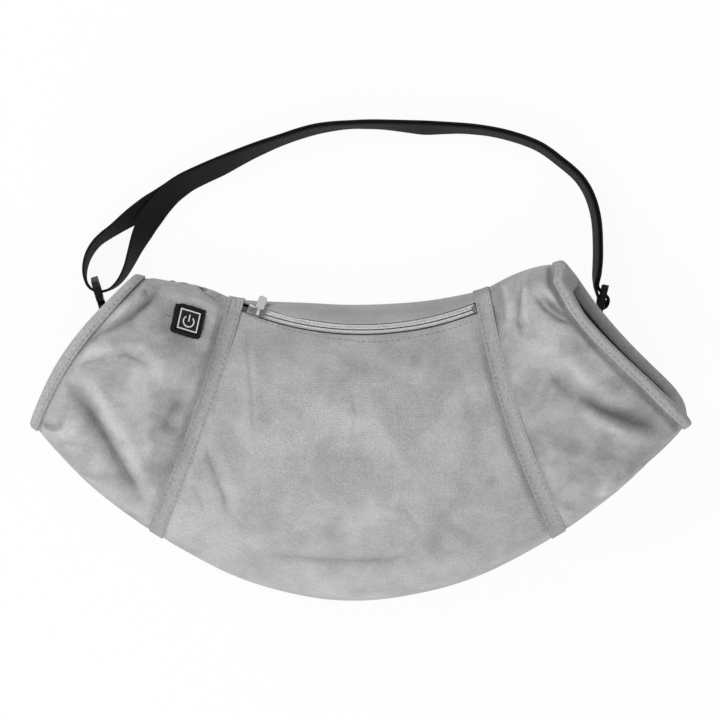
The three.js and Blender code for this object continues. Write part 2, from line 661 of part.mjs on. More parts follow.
// The slider's own axes: along the chain, away from its centre of turning, and up
const sliderTurn = -halfTurn + turnOf(stopLength + fitGap + sliderLength / 2);
function onSlider(geometry) {
  const spot = zipPoint(sliderTurn, zipRadius);
  return geometry.rotateZ(sliderTurn).translate(spot.x, spot.y, 0);
}
function block(size, place) {
  return new THREE.BoxGeometry(...size).translate(...place);
}
const plateTop = toothTop + fitGap;
const plateHalf = stopHalf + fitGap + flangeThickness;
const bridgeFoot = plateTop + sliderPlate;
const bridgeLevel = bridgeFoot + bridgeRise - bridgeBar / 2;
function sliderBody() {
  const topPlate = new THREE.Shape();
  const half = sliderLength / 2;
  const nose = plateHalf * noseShare;
  topPlate.moveTo(-half, -nose);
  topPlate.lineTo(0, -plateHalf);
  topPlate.lineTo(half, -nose);
  topPlate.lineTo(half, nose);
  topPlate.lineTo(0, plateHalf);
  topPlate.lineTo(-half, nose);
  const plate = (level) => raised(topPlate, sliderPlate).translate(0, 0, level);
  const underside = tapeTop - tapeThickness - fitGap - sliderPlate;
  const lift = bridgeFoot - underside - sliderPlate / 2;
  const post = block([postLength, postThickness, lift], [0, 0, underside + lift / 2]);
  const flangeHeight = plateTop + sliderPlate / 2 - toothBottom;
  const flange = (side) => block([half, flangeThickness, flangeHeight],
    [0, side * (plateHalf - flangeThickness / 2 - flangeThickness / 4), toothBottom + flangeHeight / 2]);
  const foot = (side) => block([bridgeBar, bridgeBar, bridgeRise], [side * (bridgeLength - bridgeBar) / 2, 0,
    bridgeFoot + bridgeRise / 2 - sliderPlate / 4]);
  const bar = block([bridgeLength, bridgeBar, bridgeBar], [0, 0, bridgeLevel]);
  return join(plate(plateTop), plate(underside), post, flange(-1), flange(1), foot(-1), foot(1), bar);
}
piece('zip_slider', onSlider(sliderBody()), nickel);

const eyeInside = bridgeBar * Math.SQRT1_2 + fitGap;
function zipPull() {
  const outside = eyeInside + pullEyeWall;
  const eye = new THREE.CylinderGeometry(outside, outside, pullEyeWidth, pinSides).rotateZ(Math.PI / 2);
  const hole = new THREE.CylinderGeometry(eyeInside, eyeInside, pullEyeWidth + overrun, pinSides)
    .rotateZ(Math.PI / 2);
  const neck = block([pullEyeWidth, outside + fitGap, pullThickness], [0, eyeInside + outside / 2, 0]);
  const blade = new THREE.Shape();
  const wide = pullWidth / 2;
  const start = outside + fitGap;
  const corner = pullWidth / 5;
  blade.moveTo(-pullEyeWidth / 2, start);
  blade.lineTo(pullEyeWidth / 2, start);
  blade.lineTo(wide, start + corner);
  blade.lineTo(wide, pullLength - corner);
  blade.lineTo(wide - corner, pullLength);
  blade.lineTo(-wide + corner, pullLength);
  blade.lineTo(-wide, pullLength - corner);
  blade.lineTo(-wide, start + corner);
  const plate = raised(blade, pullThickness).translate(0, 0, -pullThickness / 2);
  const whole = geometryOf(solidOf(join(eye, neck, plate)).subtract(solidOf(hole)));
  return whole.rotateX(-THREE.MathUtils.degToRad(pullDroop)).translate(0, 0, bridgeLevel);
}
piece('zip_pull', onSlider(zipPull()), paleMetal);

// Switch
const patchColumns = leftColumns.slice(1, -1);
const patchLayer = layer(patchColumns, [0, aboveZipShares.length + 4], -patchThickness - fitGap, -fitGap);
const patchPrism = switchBlock(switchSide, -housingSide, housingSide);
const patchWindow = switchBlock(switchWindow, -housingSide - overrun, housingSide + overrun);
piece('switch_patch', geometryOf(solidOf(patchLayer).intersect(solidOf(patchPrism))
  .subtract(solidOf(patchWindow))), blackWebbing);
const buttonSide = switchWindow - 2 * fitGap;
const rimTop = fitGap;
piece('switch_housing', cut(switchBlock(housingSide, -housingDepth, -buttonThickness, housingWall),
  switchBlock(housingInside, housingFloor, overrun, housingWall), leadChannel), blackPlastic);
const boardLevel = housingFloor + fitGap;
piece('circuit_board', switchBlock(housingInside - 2 * fitGap, boardLevel, boardLevel + boardThickness,
  housingWall), boardGreen);
const domeLow = boardLevel + boardThickness + fitGap;
const buttonTop = rimTop + patchThickness;
const buttonLow = buttonTop - buttonThickness;
piece('switch_dome', switchBlock(domeSide, domeLow, buttonLow - buttonTravel - fitGap, domeSide / 5), nickel);
piece('switch_button', switchBlock(buttonSide, buttonLow, buttonTop, housingWall), blackPlastic);

// The eyelet's flange lies on the backing and its barrel fills the bore
const flangeTop = fitGap + eyeletThickness;
const eyeletOutline = [[eyeletHole, -backingThickness], [eyeletBarrel, -backingThickness],
  [eyeletBarrel, fitGap], [eyeletRadius, fitGap], [eyeletRadius, flangeTop], [eyeletHole, flangeTop],
  [eyeletHole, -backingThickness]];
const eyeletPoints = eyeletOutline.map(([x, y]) => new THREE.Vector2(x, y));
piece('lead_eyelet', new THREE.LatheGeometry(eyeletPoints, pinSides).applyMatrix4(eyeletPlace), nickel);

// Rings, tabs and snap hooks
const wireRadius = ringWire / 2;

function dRing() {
  const path = new THREE.CurvePath();
  const steps = 14;
  const points = Array.from({ length: steps + 1 }, (_, step) => {
    const turn = Math.PI * step / steps;
    return new THREE.Vector3(ringRadius * Math.cos(turn), ringRadius * Math.sin(turn), 0);
  });
  path.curves = points.slice(1).map((point, step) => new THREE.LineCurve3(points[step], point));
  const sides = 8;
  const rings = points.map((point, step) => {
    const before = points[Math.max(step - 1, 0)];
    const after = points[Math.min(step + 1, steps)];
    const outward = point.clone().normalize();
    if (before === point || after === point) outward.set(Math.sign(point.x), -1, 0).normalize();
    const stretch = before === point || after === point ? Math.SQRT2 : 1;
    return Array.from({ length: sides }, (__, side) => {
      const turn = 2 * Math.PI * (side + 0.5) / sides;
      return point.clone().addScaledVector(outward, wireRadius * stretch * Math.cos(turn))
        .add(new THREE.Vector3(0, 0, wireRadius * Math.sin(turn)));
    });
  });
  return loftRings(rings, true);
}

// A tab is a strip folded round the ring's bar, with both ends sewn to the back
const tabWidth = 2 * (ringRadius - wireRadius) - 4 * fitGap;
function ringTab() {
  const inner = wireRadius + fitGap;
  const outer = inner + webbingThickness;
  const steps = 8;
  const arc = (radius, flip) => Array.from({ length: steps + 1 }, (_, step) => {
    const turn = Math.PI / 2 + (flip ? steps - step : step) * -Math.PI / steps;
    return new THREE.Vector2(radius * Math.cos(turn), radius * Math.sin(turn));
  });
  const lowerFace = inner - fitGap / 2;
  const outline = new THREE.Shape([
    new THREE.Vector2(-tabLength, outer), ...arc(outer, false),
    new THREE.Vector2(-inner, -outer), new THREE.Vector2(-outer - inner, lowerFace - webbingThickness),
    new THREE.Vector2(-tabLength, lowerFace - webbingThickness),
    new THREE.Vector2(-tabLength, lowerFace), new THREE.Vector2(-outer - inner / 2, lowerFace),
    new THREE.Vector2(-inner, -inner), ...arc(inner, true), new THREE.Vector2(-tabLength, inner),
  ]);
  const strip = raised(outline, tabWidth).translate(0, 0, -tabWidth / 2);
  return strip.applyMatrix4(new THREE.Matrix4().makeBasis(
    new THREE.Vector3(0, 1, 0), new THREE.Vector3(0, 0, 1), new THREE.Vector3(1, 0, 0)));
}

// The hook's own axes: across, from the ring to the strap, and up
const hookInner = hookOpening / 2;
const hookOuter = hookInner + hookStock;
const seatLow = hookInner - wireRadius - ringPlay; // centre of the hook's bend
const collarTop = hookThroat + collarLength;
const eyeMiddle = collarTop + fitGap + eyeBar + eyeSlot / 2;
const gatePinLevel = hookThroat - hookStock / 2;
const noseLevel = seatLow + hookStock / 2;
const slab = (outline, thickness) => raised(outline, thickness).translate(0, 0, -thickness / 2)
  .applyMatrix4(new THREE.Matrix4().makeBasis(
    new THREE.Vector3(0, 1, 0), new THREE.Vector3(0, 0, 1), new THREE.Vector3(1, 0, 0)));
const crossPin = (radius, length, place) => new THREE.CylinderGeometry(radius, radius, length, pinSides)
  .rotateZ(Math.PI / 2).translate(0, ...place);
const gateLine = -hookInner - hookStock / 2;

function hookBody() {
  const outline = new THREE.Shape();
  outline.moveTo(noseLevel, -hookOuter);
  outline.lineTo(seatLow, -hookOuter);
  for (let step = 1; step <= 10; step += 1) {
    const turn = -Math.PI / 2 - step * Math.PI / 10;
    outline.lineTo(seatLow + hookOuter * Math.cos(turn), hookOuter * Math.sin(turn));
  }
  outline.lineTo(hookThroat, hookOuter);
  outline.lineTo(collarTop, hookInner);
  outline.lineTo(collarTop, -hookInner);
  outline.lineTo(hookThroat, -hookOuter);
  outline.lineTo(gatePinLevel - gateThickness / 2, -hookOuter);
  outline.lineTo(gatePinLevel - gateThickness / 2, -hookInner);
  outline.lineTo(hookThroat, -hookInner);
  outline.lineTo(hookThroat, hookInner);
  for (let step = 0; step <= 10; step += 1) {
    const turn = Math.PI / 2 + step * Math.PI / 10;
    outline.lineTo(seatLow + hookInner * Math.cos(turn), hookInner * Math.sin(turn));
  }
  outline.lineTo(noseLevel, -hookInner);
  const gateRoom = gateThickness / 2 + fitGap;
  const fork = block([gateThickness + 2 * fitGap, 2 * gateRoom + overrun, hookStock + 2 * overrun],
    [0, gatePinLevel - overrun / 2, gateLine]);
  const bore = new THREE.CylinderGeometry(shankRadius + turnGap, shankRadius + turnGap,
    collarLength + 2 * overrun, pinSides).translate(0, hookThroat + collarLength / 2, 0);
  return cut(slab(outline, hookThickness), fork, bore,
    crossPin(gatePinRadius + turnGap, hookThickness + overrun, [gatePinLevel, gateLine]));
}

function hookGate() {
  const round = gateThickness / 2 - fitGap / 2;
  const outline = new THREE.Shape();
  outline.moveTo(noseLevel + fitGap, gateLine - round);
  for (let step = 0; step <= 8; step += 1) {
    const turn = -Math.PI / 2 + step * Math.PI / 8;
    outline.lineTo(gatePinLevel + round * Math.cos(turn), gateLine + round * Math.sin(turn));
  }
  outline.lineTo(noseLevel + fitGap, gateLine + round);
  return cut(slab(outline, gateThickness), crossPin(gatePinRadius + turnGap, hookThickness + overrun,
    [gatePinLevel, gateLine]));
}

const gatePin = () => crossPin(gatePinRadius, hookThickness, [gatePinLevel, gateLine]);

function swivelEye() {
  const half = webbingWidth / 2 + 2 * fitGap;
  const outer = half + eyeSide;
  const low = collarTop + fitGap;
  const high = low + 2 * eyeBar + eyeSlot;
  const outline = new THREE.Shape();
  outline.moveTo(low, -eyeBar);
  outline.lineTo(low + eyeBar, -outer);
  outline.lineTo(high - eyeBar, -outer);
  outline.lineTo(high, -outer + eyeBar);
  outline.lineTo(high, outer - eyeBar);
  outline.lineTo(high - eyeBar, outer);
  outline.lineTo(low + eyeBar, outer);
  outline.lineTo(low, eyeBar);
  const slot = block([eyeThickness + overrun, eyeSlot, 2 * half], [0, low + eyeBar + eyeSlot / 2, 0]);
  const shankLow = hookThroat - fitGap - shankHead;
  const shank = new THREE.CylinderGeometry(shankRadius, shankRadius, low + eyeBar / 2 - shankLow, pinSides)
    .translate(0, (low + eyeBar / 2 + shankLow) / 2, 0);
  const head = new THREE.CylinderGeometry(hookThickness / 2, hookThickness / 2, shankHead, pinSides)
    .translate(0, hookThroat - fitGap - shankHead / 2, 0);
  return join(cut(slab(outline, eyeThickness), slot), shank, head);
}

// The eyes keep their places at the rims, and each ring lies one hook's reach further in
const hookAway = (turn) => new THREE.Vector3(-Math.sin(turn), Math.cos(turn), 0);
function hookSide(name, end, share, out, turnDegrees, slopeDegrees) {
  const turn = THREE.MathUtils.degToRad(turnDegrees);
  const slope = THREE.MathUtils.degToRad(slopeDegrees);
  const rim = planPoint(end, share, false);
  const eye = new THREE.Vector3(rim.x + (end ? out : -out), rim.y, 0);
  const reach = ringRadius + eyeMiddle * Math.cos(slope);
  const ring = eye.clone().addScaledVector(hookAway(turn), -reach).setZ(ringLevel);
  const place = new THREE.Matrix4().makeRotationFromEuler(new THREE.Euler(slope, 0, turn, 'ZYX'))
    .setPosition(ring.clone().addScaledVector(hookAway(turn), ringRadius));
  return { name, eye, ring, place };
}
const leftSide = hookSide('left', 0, leftEyeShare, leftEyeOut, leftHookTurn, leftHookSlope);
const rightSide = hookSide('right', 1, rightEyeShare, rightEyeOut, rightHookTurn, rightHookSlope);
const ringsApart = rightSide.ring.clone().sub(leftSide.ring);
const swingTurn = Math.atan2(ringsApart.y, ringsApart.x);
const atRing = (geometry, ring) => geometry.rotateZ(swingTurn).translate(...ring.toArray());

// The tab rises from the ring to the back panel above it, which is felt for at these places
const lengthShares = [0.25, 0.5, 0.75, 1];
const widthShares = [-0.5, 0, 0.5];
const seen = new THREE.Raycaster();
const backMesh = new THREE.Mesh(group.getObjectByName('back_panel').geometry, new THREE.MeshBasicMaterial(
  { side: THREE.DoubleSide }));
function tabSlope(ring) {
  const plies = wireRadius + fitGap + webbingThickness;
  const slopes = lengthShares.flatMap((lengthShare) => widthShares.map((widthShare) => {
    const distance = lengthShare * tabLength;
    const spot = new THREE.Vector3(widthShare * tabWidth, -distance, 0)
      .applyAxisAngle(new THREE.Vector3(0, 0, 1), swingTurn).add(ring).setZ(-overrun);
    seen.set(spot, new THREE.Vector3(0, 0, 1));
    const room = seen.intersectObject(backMesh)[0].point.z - fitGap - plies - ring.z;
    return Math.asin(THREE.MathUtils.clamp(room / distance, -1, 1));
  }));
  return Math.min(...slopes);
}

for (const { name, ring, place } of [leftSide, rightSide]) {
  piece(`${name}_ring_tab`, atRing(ringTab().rotateX(-tabSlope(ring)), ring), blackWebbing);
  piece(`${name}_ring`, atRing(dRing(), ring), blackPlastic);
  piece(`${name}_hook`, hookBody().applyMatrix4(place), blackPlastic);
  piece(`${name}_hook_gate`, hookGate().applyMatrix4(place), blackPlastic);
  piece(`${name}_gate_pin`, gatePin().applyMatrix4(place), nickel);
  piece(`${name}_swivel_eye`, swivelEye().applyMatrix4(place), blackPlastic);
}

// Adjuster: x runs down it, y outwards, and its bars stand upright
const adjusterDown = THREE.MathUtils.degToRad(adjusterTurn - 90);
const adjusterLevel = webbingWidth / 2 + endLift;
const fromEye = (side, [x, y]) => [side.eye.x + x * eyeSlot, side.eye.y + y * eyeSlot];
const adjusterPlace = fromEye(rightSide, adjusterShares);
const byAdjuster = ([down, out]) => new THREE.Vector2(down * adjusterLength, out * adjusterLength)
  .rotateAround(new THREE.Vector2(), adjusterDown).add(new THREE.Vector2(...adjusterPlace));
function adjuster() {
  const room = webbingWidth + 4 * fitGap;
  const height = room + 2 * railHeight;
  const slotLength = (adjusterLength - 3 * adjusterBar) / 2;
  const slotPlace = (adjusterBar + slotLength) / 2;
  const corner = railHeight / 2;
  const outline = new THREE.Shape();
  const half = adjusterLength / 2;
  outline.moveTo(-half, -height / 2 + corner);
  outline.lineTo(-half + corner, -height / 2);
  outline.lineTo(half - corner, -height / 2);
  outline.lineTo(half, -height / 2 + corner);
  outline.lineTo(half, height / 2 - corner);
  outline.lineTo(half - corner, height / 2);
  outline.lineTo(-half + corner, height / 2);
  outline.lineTo(-half, height / 2 - corner);
  const plate = raised(outline, railThickness).translate(0, 0, -railThickness / 2).rotateX(Math.PI / 2);
  const slot = (side) => block([slotLength, railThickness + overrun, room], [side * slotPlace, 0, 0]);
  const recess = (side) => block([adjusterLength + overrun, railThickness, room],
    [0, side * (railThickness + adjusterThickness) / 2, 0]);
  return cut(plate, slot(-1), slot(1), recess(-1), recess(1))
    .rotateZ(adjusterDown).translate(...adjusterPlace, adjusterLevel);
}
piece('strap_adjuster', adjuster(), blackPlastic);

// The strap is one length of webbing. Each stop of its way is a place, a lean to its right and a lift.
const [adjusterX, adjusterY] = adjusterPlace;
const aheadX = leftSide.eye.x - adjusterX;
const aheadY = leftSide.eye.y - adjusterY;
function doubledStop([ahead, aside, lean, liftShare]) {
  const x = adjusterX + ahead * aheadX + aside * aheadY;
  const y = adjusterY + ahead * aheadY - aside * aheadX;
  return [x, y, lean, liftShare * webbingWidth];
}
function loopStop([x, y, lean, liftShare]) {
  return [...fromEye(leftSide, [x, y]), lean, liftShare * webbingWidth];
}
function strapStops() {
  const doubled = doubledShares.map(doubledStop);
  const outward = doubled.map((_, stop) => {
    const before = doubled[Math.max(stop - 1, 0)];
    const after = doubled[Math.min(stop + 1, doubled.length - 1)];
    return new THREE.Vector2(after[1] - before[1], before[0] - after[0]).normalize();
  });
  const offset = (webbingThickness + layerGap) / 2;
  const lane = (side) => doubled.map(([x, y, lean, lift], stop) => {
    const across = side * offset * Math.cos(THREE.MathUtils.degToRad(lean));
    const drop = side * offset * Math.sin(THREE.MathUtils.degToRad(lean));
    return [x + across * outward[stop].x, y + across * outward[stop].y, -side * lean, lift - drop];
  });
  const upright = (place) => [...place, 0, endLift];
  const fold = foldShares.map((place) => upright(byAdjuster(place)));
  const weave = weaveShares.map((place) => upright(byAdjuster(place)));
  const end = endShares.map((place) => upright(fromEye(rightSide, place)));
  const loop = loopShares.map(loopStop);
  return [...fold, ...lane(-1), ...loop, ...lane(1).reverse(), ...weave, ...end];
}
function strap() {
  const stops = strapStops();
  const places = stops.map(([x, y]) => new THREE.Vector3(x, y, 0));
  const way = new THREE.CatmullRomCurve3(places, false, 'centripetal');
  const tilt = new THREE.CatmullRomCurve3(stops.map(([, , lean, lift]) => new THREE.Vector3(lean, lift, 0)),
    false, 'catmullrom', 0);
  const steps = 2 * (stops.length - 1);
  const rings = Array.from({ length: steps + 1 }, (_, step) => {
    const centre = way.getPoint(step / steps);
    const ahead = way.getTangent(step / steps);
    const { x: leanDegrees, y: lift } = tilt.getPoint(step / steps);
    const lean = THREE.MathUtils.degToRad(leanDegrees);
    const right = new THREE.Vector3(ahead.y, -ahead.x, 0).normalize();
    const up = new THREE.Vector3(0, 0, 1);
    const wide = up.clone().multiplyScalar(Math.cos(lean)).addScaledVector(right, Math.sin(lean));
    const thick = right.clone().multiplyScalar(Math.cos(lean)).addScaledVector(up, -Math.sin(lean));
    const layers = (webbingThickness + layerGap / 2) * Math.abs(Math.sin(lean));
    centre.z = webbingWidth / 2 * Math.cos(lean) + layers + lift;
    const corners = [[1, 1], [1, -1], [-1, -1], [-1, 1]];
    return corners.map(([across, high]) => centre.clone()
      .addScaledVector(thick, across * webbingThickness / 2)
      .addScaledVector(wide, high * webbingWidth / 2));
  });
  return loftRings(rings);
}
piece('strap_webbing', strap(), blackWebbing);

const footprint = new THREE.Box3().setFromObject(group);
const middle = footprint.getCenter(new THREE.Vector3());
group.position.set(-middle.x, -middle.y, -footprint.min.z);

export default group;
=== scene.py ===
# %% [markdown]
# # A heated hand muff, lying on its back
# The muff is a plush tube for two hands. This lesson dresses the measured solids of the muff: the
# hard pieces keep their solids and get a finish, and every cloth piece is made again with folds,
# a soft nap and stitches. All places are in metres, x to the right, y towards the strap, z up.

import math

import bmesh
import bpy
import numpy as np
from mathutils import Matrix, Vector, noise
from mathutils.bvhtree import BVHTree


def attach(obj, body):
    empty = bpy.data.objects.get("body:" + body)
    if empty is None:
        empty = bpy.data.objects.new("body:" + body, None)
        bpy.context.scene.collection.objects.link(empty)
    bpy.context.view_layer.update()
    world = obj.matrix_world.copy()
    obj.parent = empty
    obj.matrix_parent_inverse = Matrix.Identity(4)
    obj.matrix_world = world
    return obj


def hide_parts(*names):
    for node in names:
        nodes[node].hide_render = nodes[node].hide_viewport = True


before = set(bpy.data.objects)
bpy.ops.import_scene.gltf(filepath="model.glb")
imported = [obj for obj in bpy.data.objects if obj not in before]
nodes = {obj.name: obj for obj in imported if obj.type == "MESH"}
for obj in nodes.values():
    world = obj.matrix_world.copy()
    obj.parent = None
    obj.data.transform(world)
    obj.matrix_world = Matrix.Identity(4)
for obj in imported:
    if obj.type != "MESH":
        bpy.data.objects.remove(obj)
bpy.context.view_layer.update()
MM = 0.001
print(len(nodes), "solids loaded")

# %% [markdown]
# ## Camera
# A product like this is photographed from straight above with a long lens. One helper turns a
# place in the picture into a place on the muff, so that folds and stitches can be given as picture
# points.
# The picture's scale holds at half the muff's height, and the lens is worked out for that height.

# %% Camera
PICTURE_SIDE = 720
MM_PER_PIXEL = 0.6545
ORIGIN_PIXEL = (360.45, 359.73)
SCALE_HEIGHT = 0.03
CAMERA_HEIGHT = 4.0


def seen(pixel_x, pixel_y):
    """The place, in metres, that a picture point shows."""
    right = (pixel_x - ORIGIN_PIXEL[0]) * MM_PER_PIXEL * MM
    up = (ORIGIN_PIXEL[1] - pixel_y) * MM_PER_PIXEL * MM
    return right, up


camera_data = bpy.data.cameras.new("camera")
camera = bpy.data.objects.new("camera", camera_data)
bpy.context.scene.collection.objects.link(camera)
middle_x, middle_y = seen(PICTURE_SIDE / 2, PICTURE_SIDE / 2)
camera.location = (middle_x, middle_y, CAMERA_HEIGHT)
field = PICTURE_SIDE * MM_PER_PIXEL * MM
camera_data.lens = camera_data.sensor_width * (CAMERA_HEIGHT - SCALE_HEIGHT) / field
bpy.context.scene.camera = camera
print("lens", round(camera_data.lens, 1), "mm")

# %% [markdown]
# ## Light
# The photograph has soft light from large panels and hardly a shadow. Three area lamps and a pale
# world give that: the key at the upper left gives the folds a lit side, and the front one keeps the
# lower edge bright. A single strong lamp would be simpler, but it would draw hard shadows.

# %% Lamps and world
KEY_POWER = 11.5
FILL_POWER = 3
FRONT_POWER = 12
WORLD_STRENGTH = 0.38


def lamp(name, place, side, power):
    """A square lamp of that side and power, turned to the muff."""
    data = bpy.data.lights.new(name, "AREA")
    data.shape = "SQUARE"
    data.size = side
    data.energy = power
    made = bpy.data.objects.new(name, data)
    bpy.context.scene.collection.objects.link(made)
    made.location = place
    made.rotation_euler = (-Vector(place)).to_track_quat("-Z", "Y").to_euler()


lamp("key", (-0.9, 0.7, 1.0), 0.7, KEY_POWER)
lamp("fill", (1.1, -0.5, 1.3), 1.2, FILL_POWER)
lamp("front", (-0.3, -1.2, 0.9), 1.0, FRONT_POWER)
world = bpy.data.worlds.new("studio")
bpy.context.scene.world = world
world.use_nodes = True
world.node_tree.nodes["Background"].inputs["Strength"].default_value = WORLD_STRENGTH
world.node_tree.nodes["Background"].inputs["Color"].default_value = (1, 1, 1, 1)
bpy.context.scene.view_settings.view_transform = "Standard"

# %% [markdown]
# ## A small language for materials
# A material is a set of nodes. They could be placed and linked one by one, but then a formula is
# hard to read. This class wraps the outlet of a node, so that plain arithmetic on it adds the Math
# nodes, also where a number comes first, as in 1 - mask.

# %% Signal
class Signal:
    """A number in a material. Arithmetic on it adds Math nodes."""

    def __init__(self, finish, socket):
        self.finish = finish
        self.socket = socket

    def math(self, operation, first, second):
        return self.finish.add("Math", {"operation": operation}, {0: first, 1: second})

    def __add__(self, other):
        return self.math("ADD", self, other)

    def __sub__(self, other):
        return self.math("SUBTRACT", self, other)

    def __rsub__(self, other):
        return self.math("SUBTRACT", other, self)

    def __mul__(self, other):
        return self.math("MULTIPLY", self, other)

    def sine(self):
        return self.math("SINE", self, 0.0)

    __radd__ = __add__
    __rmul__ = __mul__


print("a signal has", [name for name in vars(Signal) if name[0] != "_"])

# %% [markdown]
# ## A finish
# A finish is one material for one kind of surface. It starts from the Principled shader. A single
# method adds every other node: its kind, its settings, then the values or links of its sockets.

# %% Finish
def with_alpha(colour):
    """A colour as a socket wants it. A signal stays as it is."""
    return colour if isinstance(colour, Signal) else (*colour, 1)


class Finish:
    """A material and the one way that nodes are added to it."""

    def __init__(self, name, **values):
        self.material = bpy.data.materials.new(name)
        self.material.use_nodes = True
        self.tree = self.material.node_tree
        self.shader = self.tree.nodes["Principled BSDF"]
        for key, value in values.items():
            self.shader.inputs[key.replace("_", " ")].default_value = value

    def add(self, kind, settings, inlets, outlet=0):
        made = self.tree.nodes.new("ShaderNode" + kind)
        for key, value in settings.items():
            if key == "stops":
                for stop, (place, level) in zip(made.color_ramp.elements, value):
                    stop.position = place
                    stop.color = (level, level, level, 1)
            else:
                setattr(made, key, value)
        for key, value in inlets.items():
            self.feed(made.inputs[key], value)
        return Signal(self, made.outputs[outlet])

    def feed(self, inlet, value):
        if isinstance(value, Signal):
            self.tree.links.new(value.socket, inlet)
        else:
            inlet.default_value = value

    def places(self):
        return self.add("TexCoord", {}, {}, "Object")

    def attribute(self, name):
        """A number that the mesh carries at each of its points."""
        return self.add("Attribute", {"attribute_name": name}, {}, "Fac")

    def noise(self, size, detail=3, roughness=0.55, stretch=(1, 1, 1), distortion=0):
        """Cloudy noise whose lumps are about size metres across."""
        spot = self.add("Mapping", {}, {"Vector": self.places(), "Scale": stretch})
        return self.add("TexNoise", {}, {"Vector": spot, "Scale": 1 / size, "Detail": detail,
                                         "Roughness": roughness, "Distortion": distortion})

    def ramp(self, factor, *stops):
        return self.add("ValToRGB", {"stops": stops}, {0: factor})

    def blend(self, factor, dark, light):
        """Between two colours, which are tuples or signals."""
        inlets = {0: factor, 6: with_alpha(dark), 7: with_alpha(light)}
        return self.add("Mix", {"data_type": "RGBA"}, inlets, 2)

    def colour(self, signal):
        self.feed(self.shader.inputs["Base Color"], signal)

    def roughness(self, signal):
        self.feed(self.shader.inputs["Roughness"], signal)

    def bump(self, height, distance, strength):
        inlets = {"Height": height, "Distance": distance, "Strength": strength}
        self.feed(self.shader.inputs["Normal"], self.add("Bump", {}, inlets))


print("a finish has", [name for name in vars(Finish) if name[0] != "_"])

# %% [markdown]
# ## Plush and velour
# Plush shines or darkens with the way its pile lies, in cloudy patches as large as a finger. Close
# up it is a fine fuzz. The pocket's velour is smoother, with faint rows of knitting. Real hairs
# could be grown on it, but they are slow, and an export loses them, so noise of three sizes and a
# small bump stand in for them. Each cloth carries an attribute named shade, set below, which
# multiplies its colour: painted shade in the valleys, creases and beside the seams, painted light
# on the ridges, and the lighter and darker strokes and dents of the pile.

# %% Plush and velour
CLOUD_SIZE = 0.034
TUFT_SIZE = 0.012
FIBRE_SIZE = 0.0017
KNIT_ROW = 0.0013
PILE_DEPTH = 0.0005


def plush_finish(name, level, patches, fuzz, rows=0.0, shaded=True):
    """Pile of a mean level. Patches says how far its clouds differ, fuzz how much fibre shows."""
    finish = Finish(name, Roughness=0.95, Sheen_Weight=0.2, Sheen_Roughness=0.6)
    cloud = finish.noise(CLOUD_SIZE, 2, 0.5, distortion=0.6)
    tuft = finish.noise(TUFT_SIZE, 3, 0.6, (1, 1.4, 1), 0.3)
    fibre = finish.ramp(finish.noise(FIBRE_SIZE, 2, 0.8), (0.34, 0.0), (0.66, 1.0))
    nap = finish.ramp(cloud * 0.65 + tuft * 0.35, (0.40, 0.0), (0.60, 1.0))
    pile = nap + (fibre - nap) * fuzz
    tone = pile * (2 * patches * level) + level * (1 - patches)
    if shaded:
        # The shade attribute paints shade into valleys, creases and seams, and light onto ridges.
        tone = tone * finish.attribute("shade")
    finish.colour(tone)
    height = fibre * 0.8 + tuft
    if rows:
        upward = finish.add("SeparateXYZ", {}, {0: finish.places()}, "Y")
        height = height + (upward * (2 * math.pi / KNIT_ROW)).sine() * rows
    finish.bump(height, PILE_DEPTH, 0.6)
    return finish


plush = plush_finish("silver_plush", 0.38, 0.28, 0.30)
velour = plush_finish("pocket_velour", 0.425, 0.19, 0.42, 0.35)
shaded_plush = plush_finish("facing_plush", 0.38, 0.12, 0.3)
# The lining is made near black as painted shade: inside the openings it lies in shadow.
painted_shade_lining = plush_finish("painted_shade_lining", 0.085, 0.15, 0.3)
backing_knit = plush_finish("backing_knit", 0.45, 0.1, 0.3, 0.2, shaded=False)
wadding = plush_finish("wadding", 0.78, 0.06, 0.5, shaded=False)
print(len(bpy.data.materials), "finishes so far")

# %% [markdown]
# ## Tapes and thread
# The seam tapes, the bindings of the rims and the zip's tapes are close woven and matt. Single
# threads can't be told apart from here, so a fine fleck over a faint cloud is enough. They differ
# only in their level of grey, and so does the thread of the stitches.

# %% Tapes and thread
FLECK_SIZE = 0.0016
WASH_SIZE = 0.012
WEAVE_DEPTH = 0.0004


def tape_finish(name, level):
    """Close-woven cloth of a mean level of grey."""
    finish = Finish(name, Roughness=0.85)
    fleck = finish.ramp(finish.noise(FLECK_SIZE, 2, 0.8), (0.35, 0.0), (0.65, 1.0))
    cloud = finish.noise(WASH_SIZE, 2)
    finish.colour((fleck * 0.75 + cloud * 0.25) * (level * 0.36) + level * 0.82)
    finish.bump(fleck, WEAVE_DEPTH, 0.6)
    return finish


tape = tape_finish("seam_tape", 0.36)
binding = tape_finish("rim_binding", 0.40)
# The zip's tapes are pale, and set lighter still as painted light, so the gaps beside the chain
# don't fall dark.
zip_cloth_with_painted_light = tape_finish("zip_tape_with_painted_light", 0.80)
chain = tape_finish("zip_chain", 0.54)
thread = tape_finish("stitch_thread", 0.27)
print(len(bpy.data.materials), "finishes so far")

# %% [markdown]
# ## Webbing
# The strap is a flat nylon webbing. Its ribs could be modelled, but there are thousands, so two
# sine waves draw them. The mesh carries two attributes, the distance across and the distance
# along in millimetres, so that the ribs follow the strap round every bend.

# %% Webbing
RIB_WIDTH = 1.1
PICK_LENGTH = 0.9
YARN_SIZE = 0.0012
FADE_SIZE = 0.02
RIB_DEPTH = 0.0003


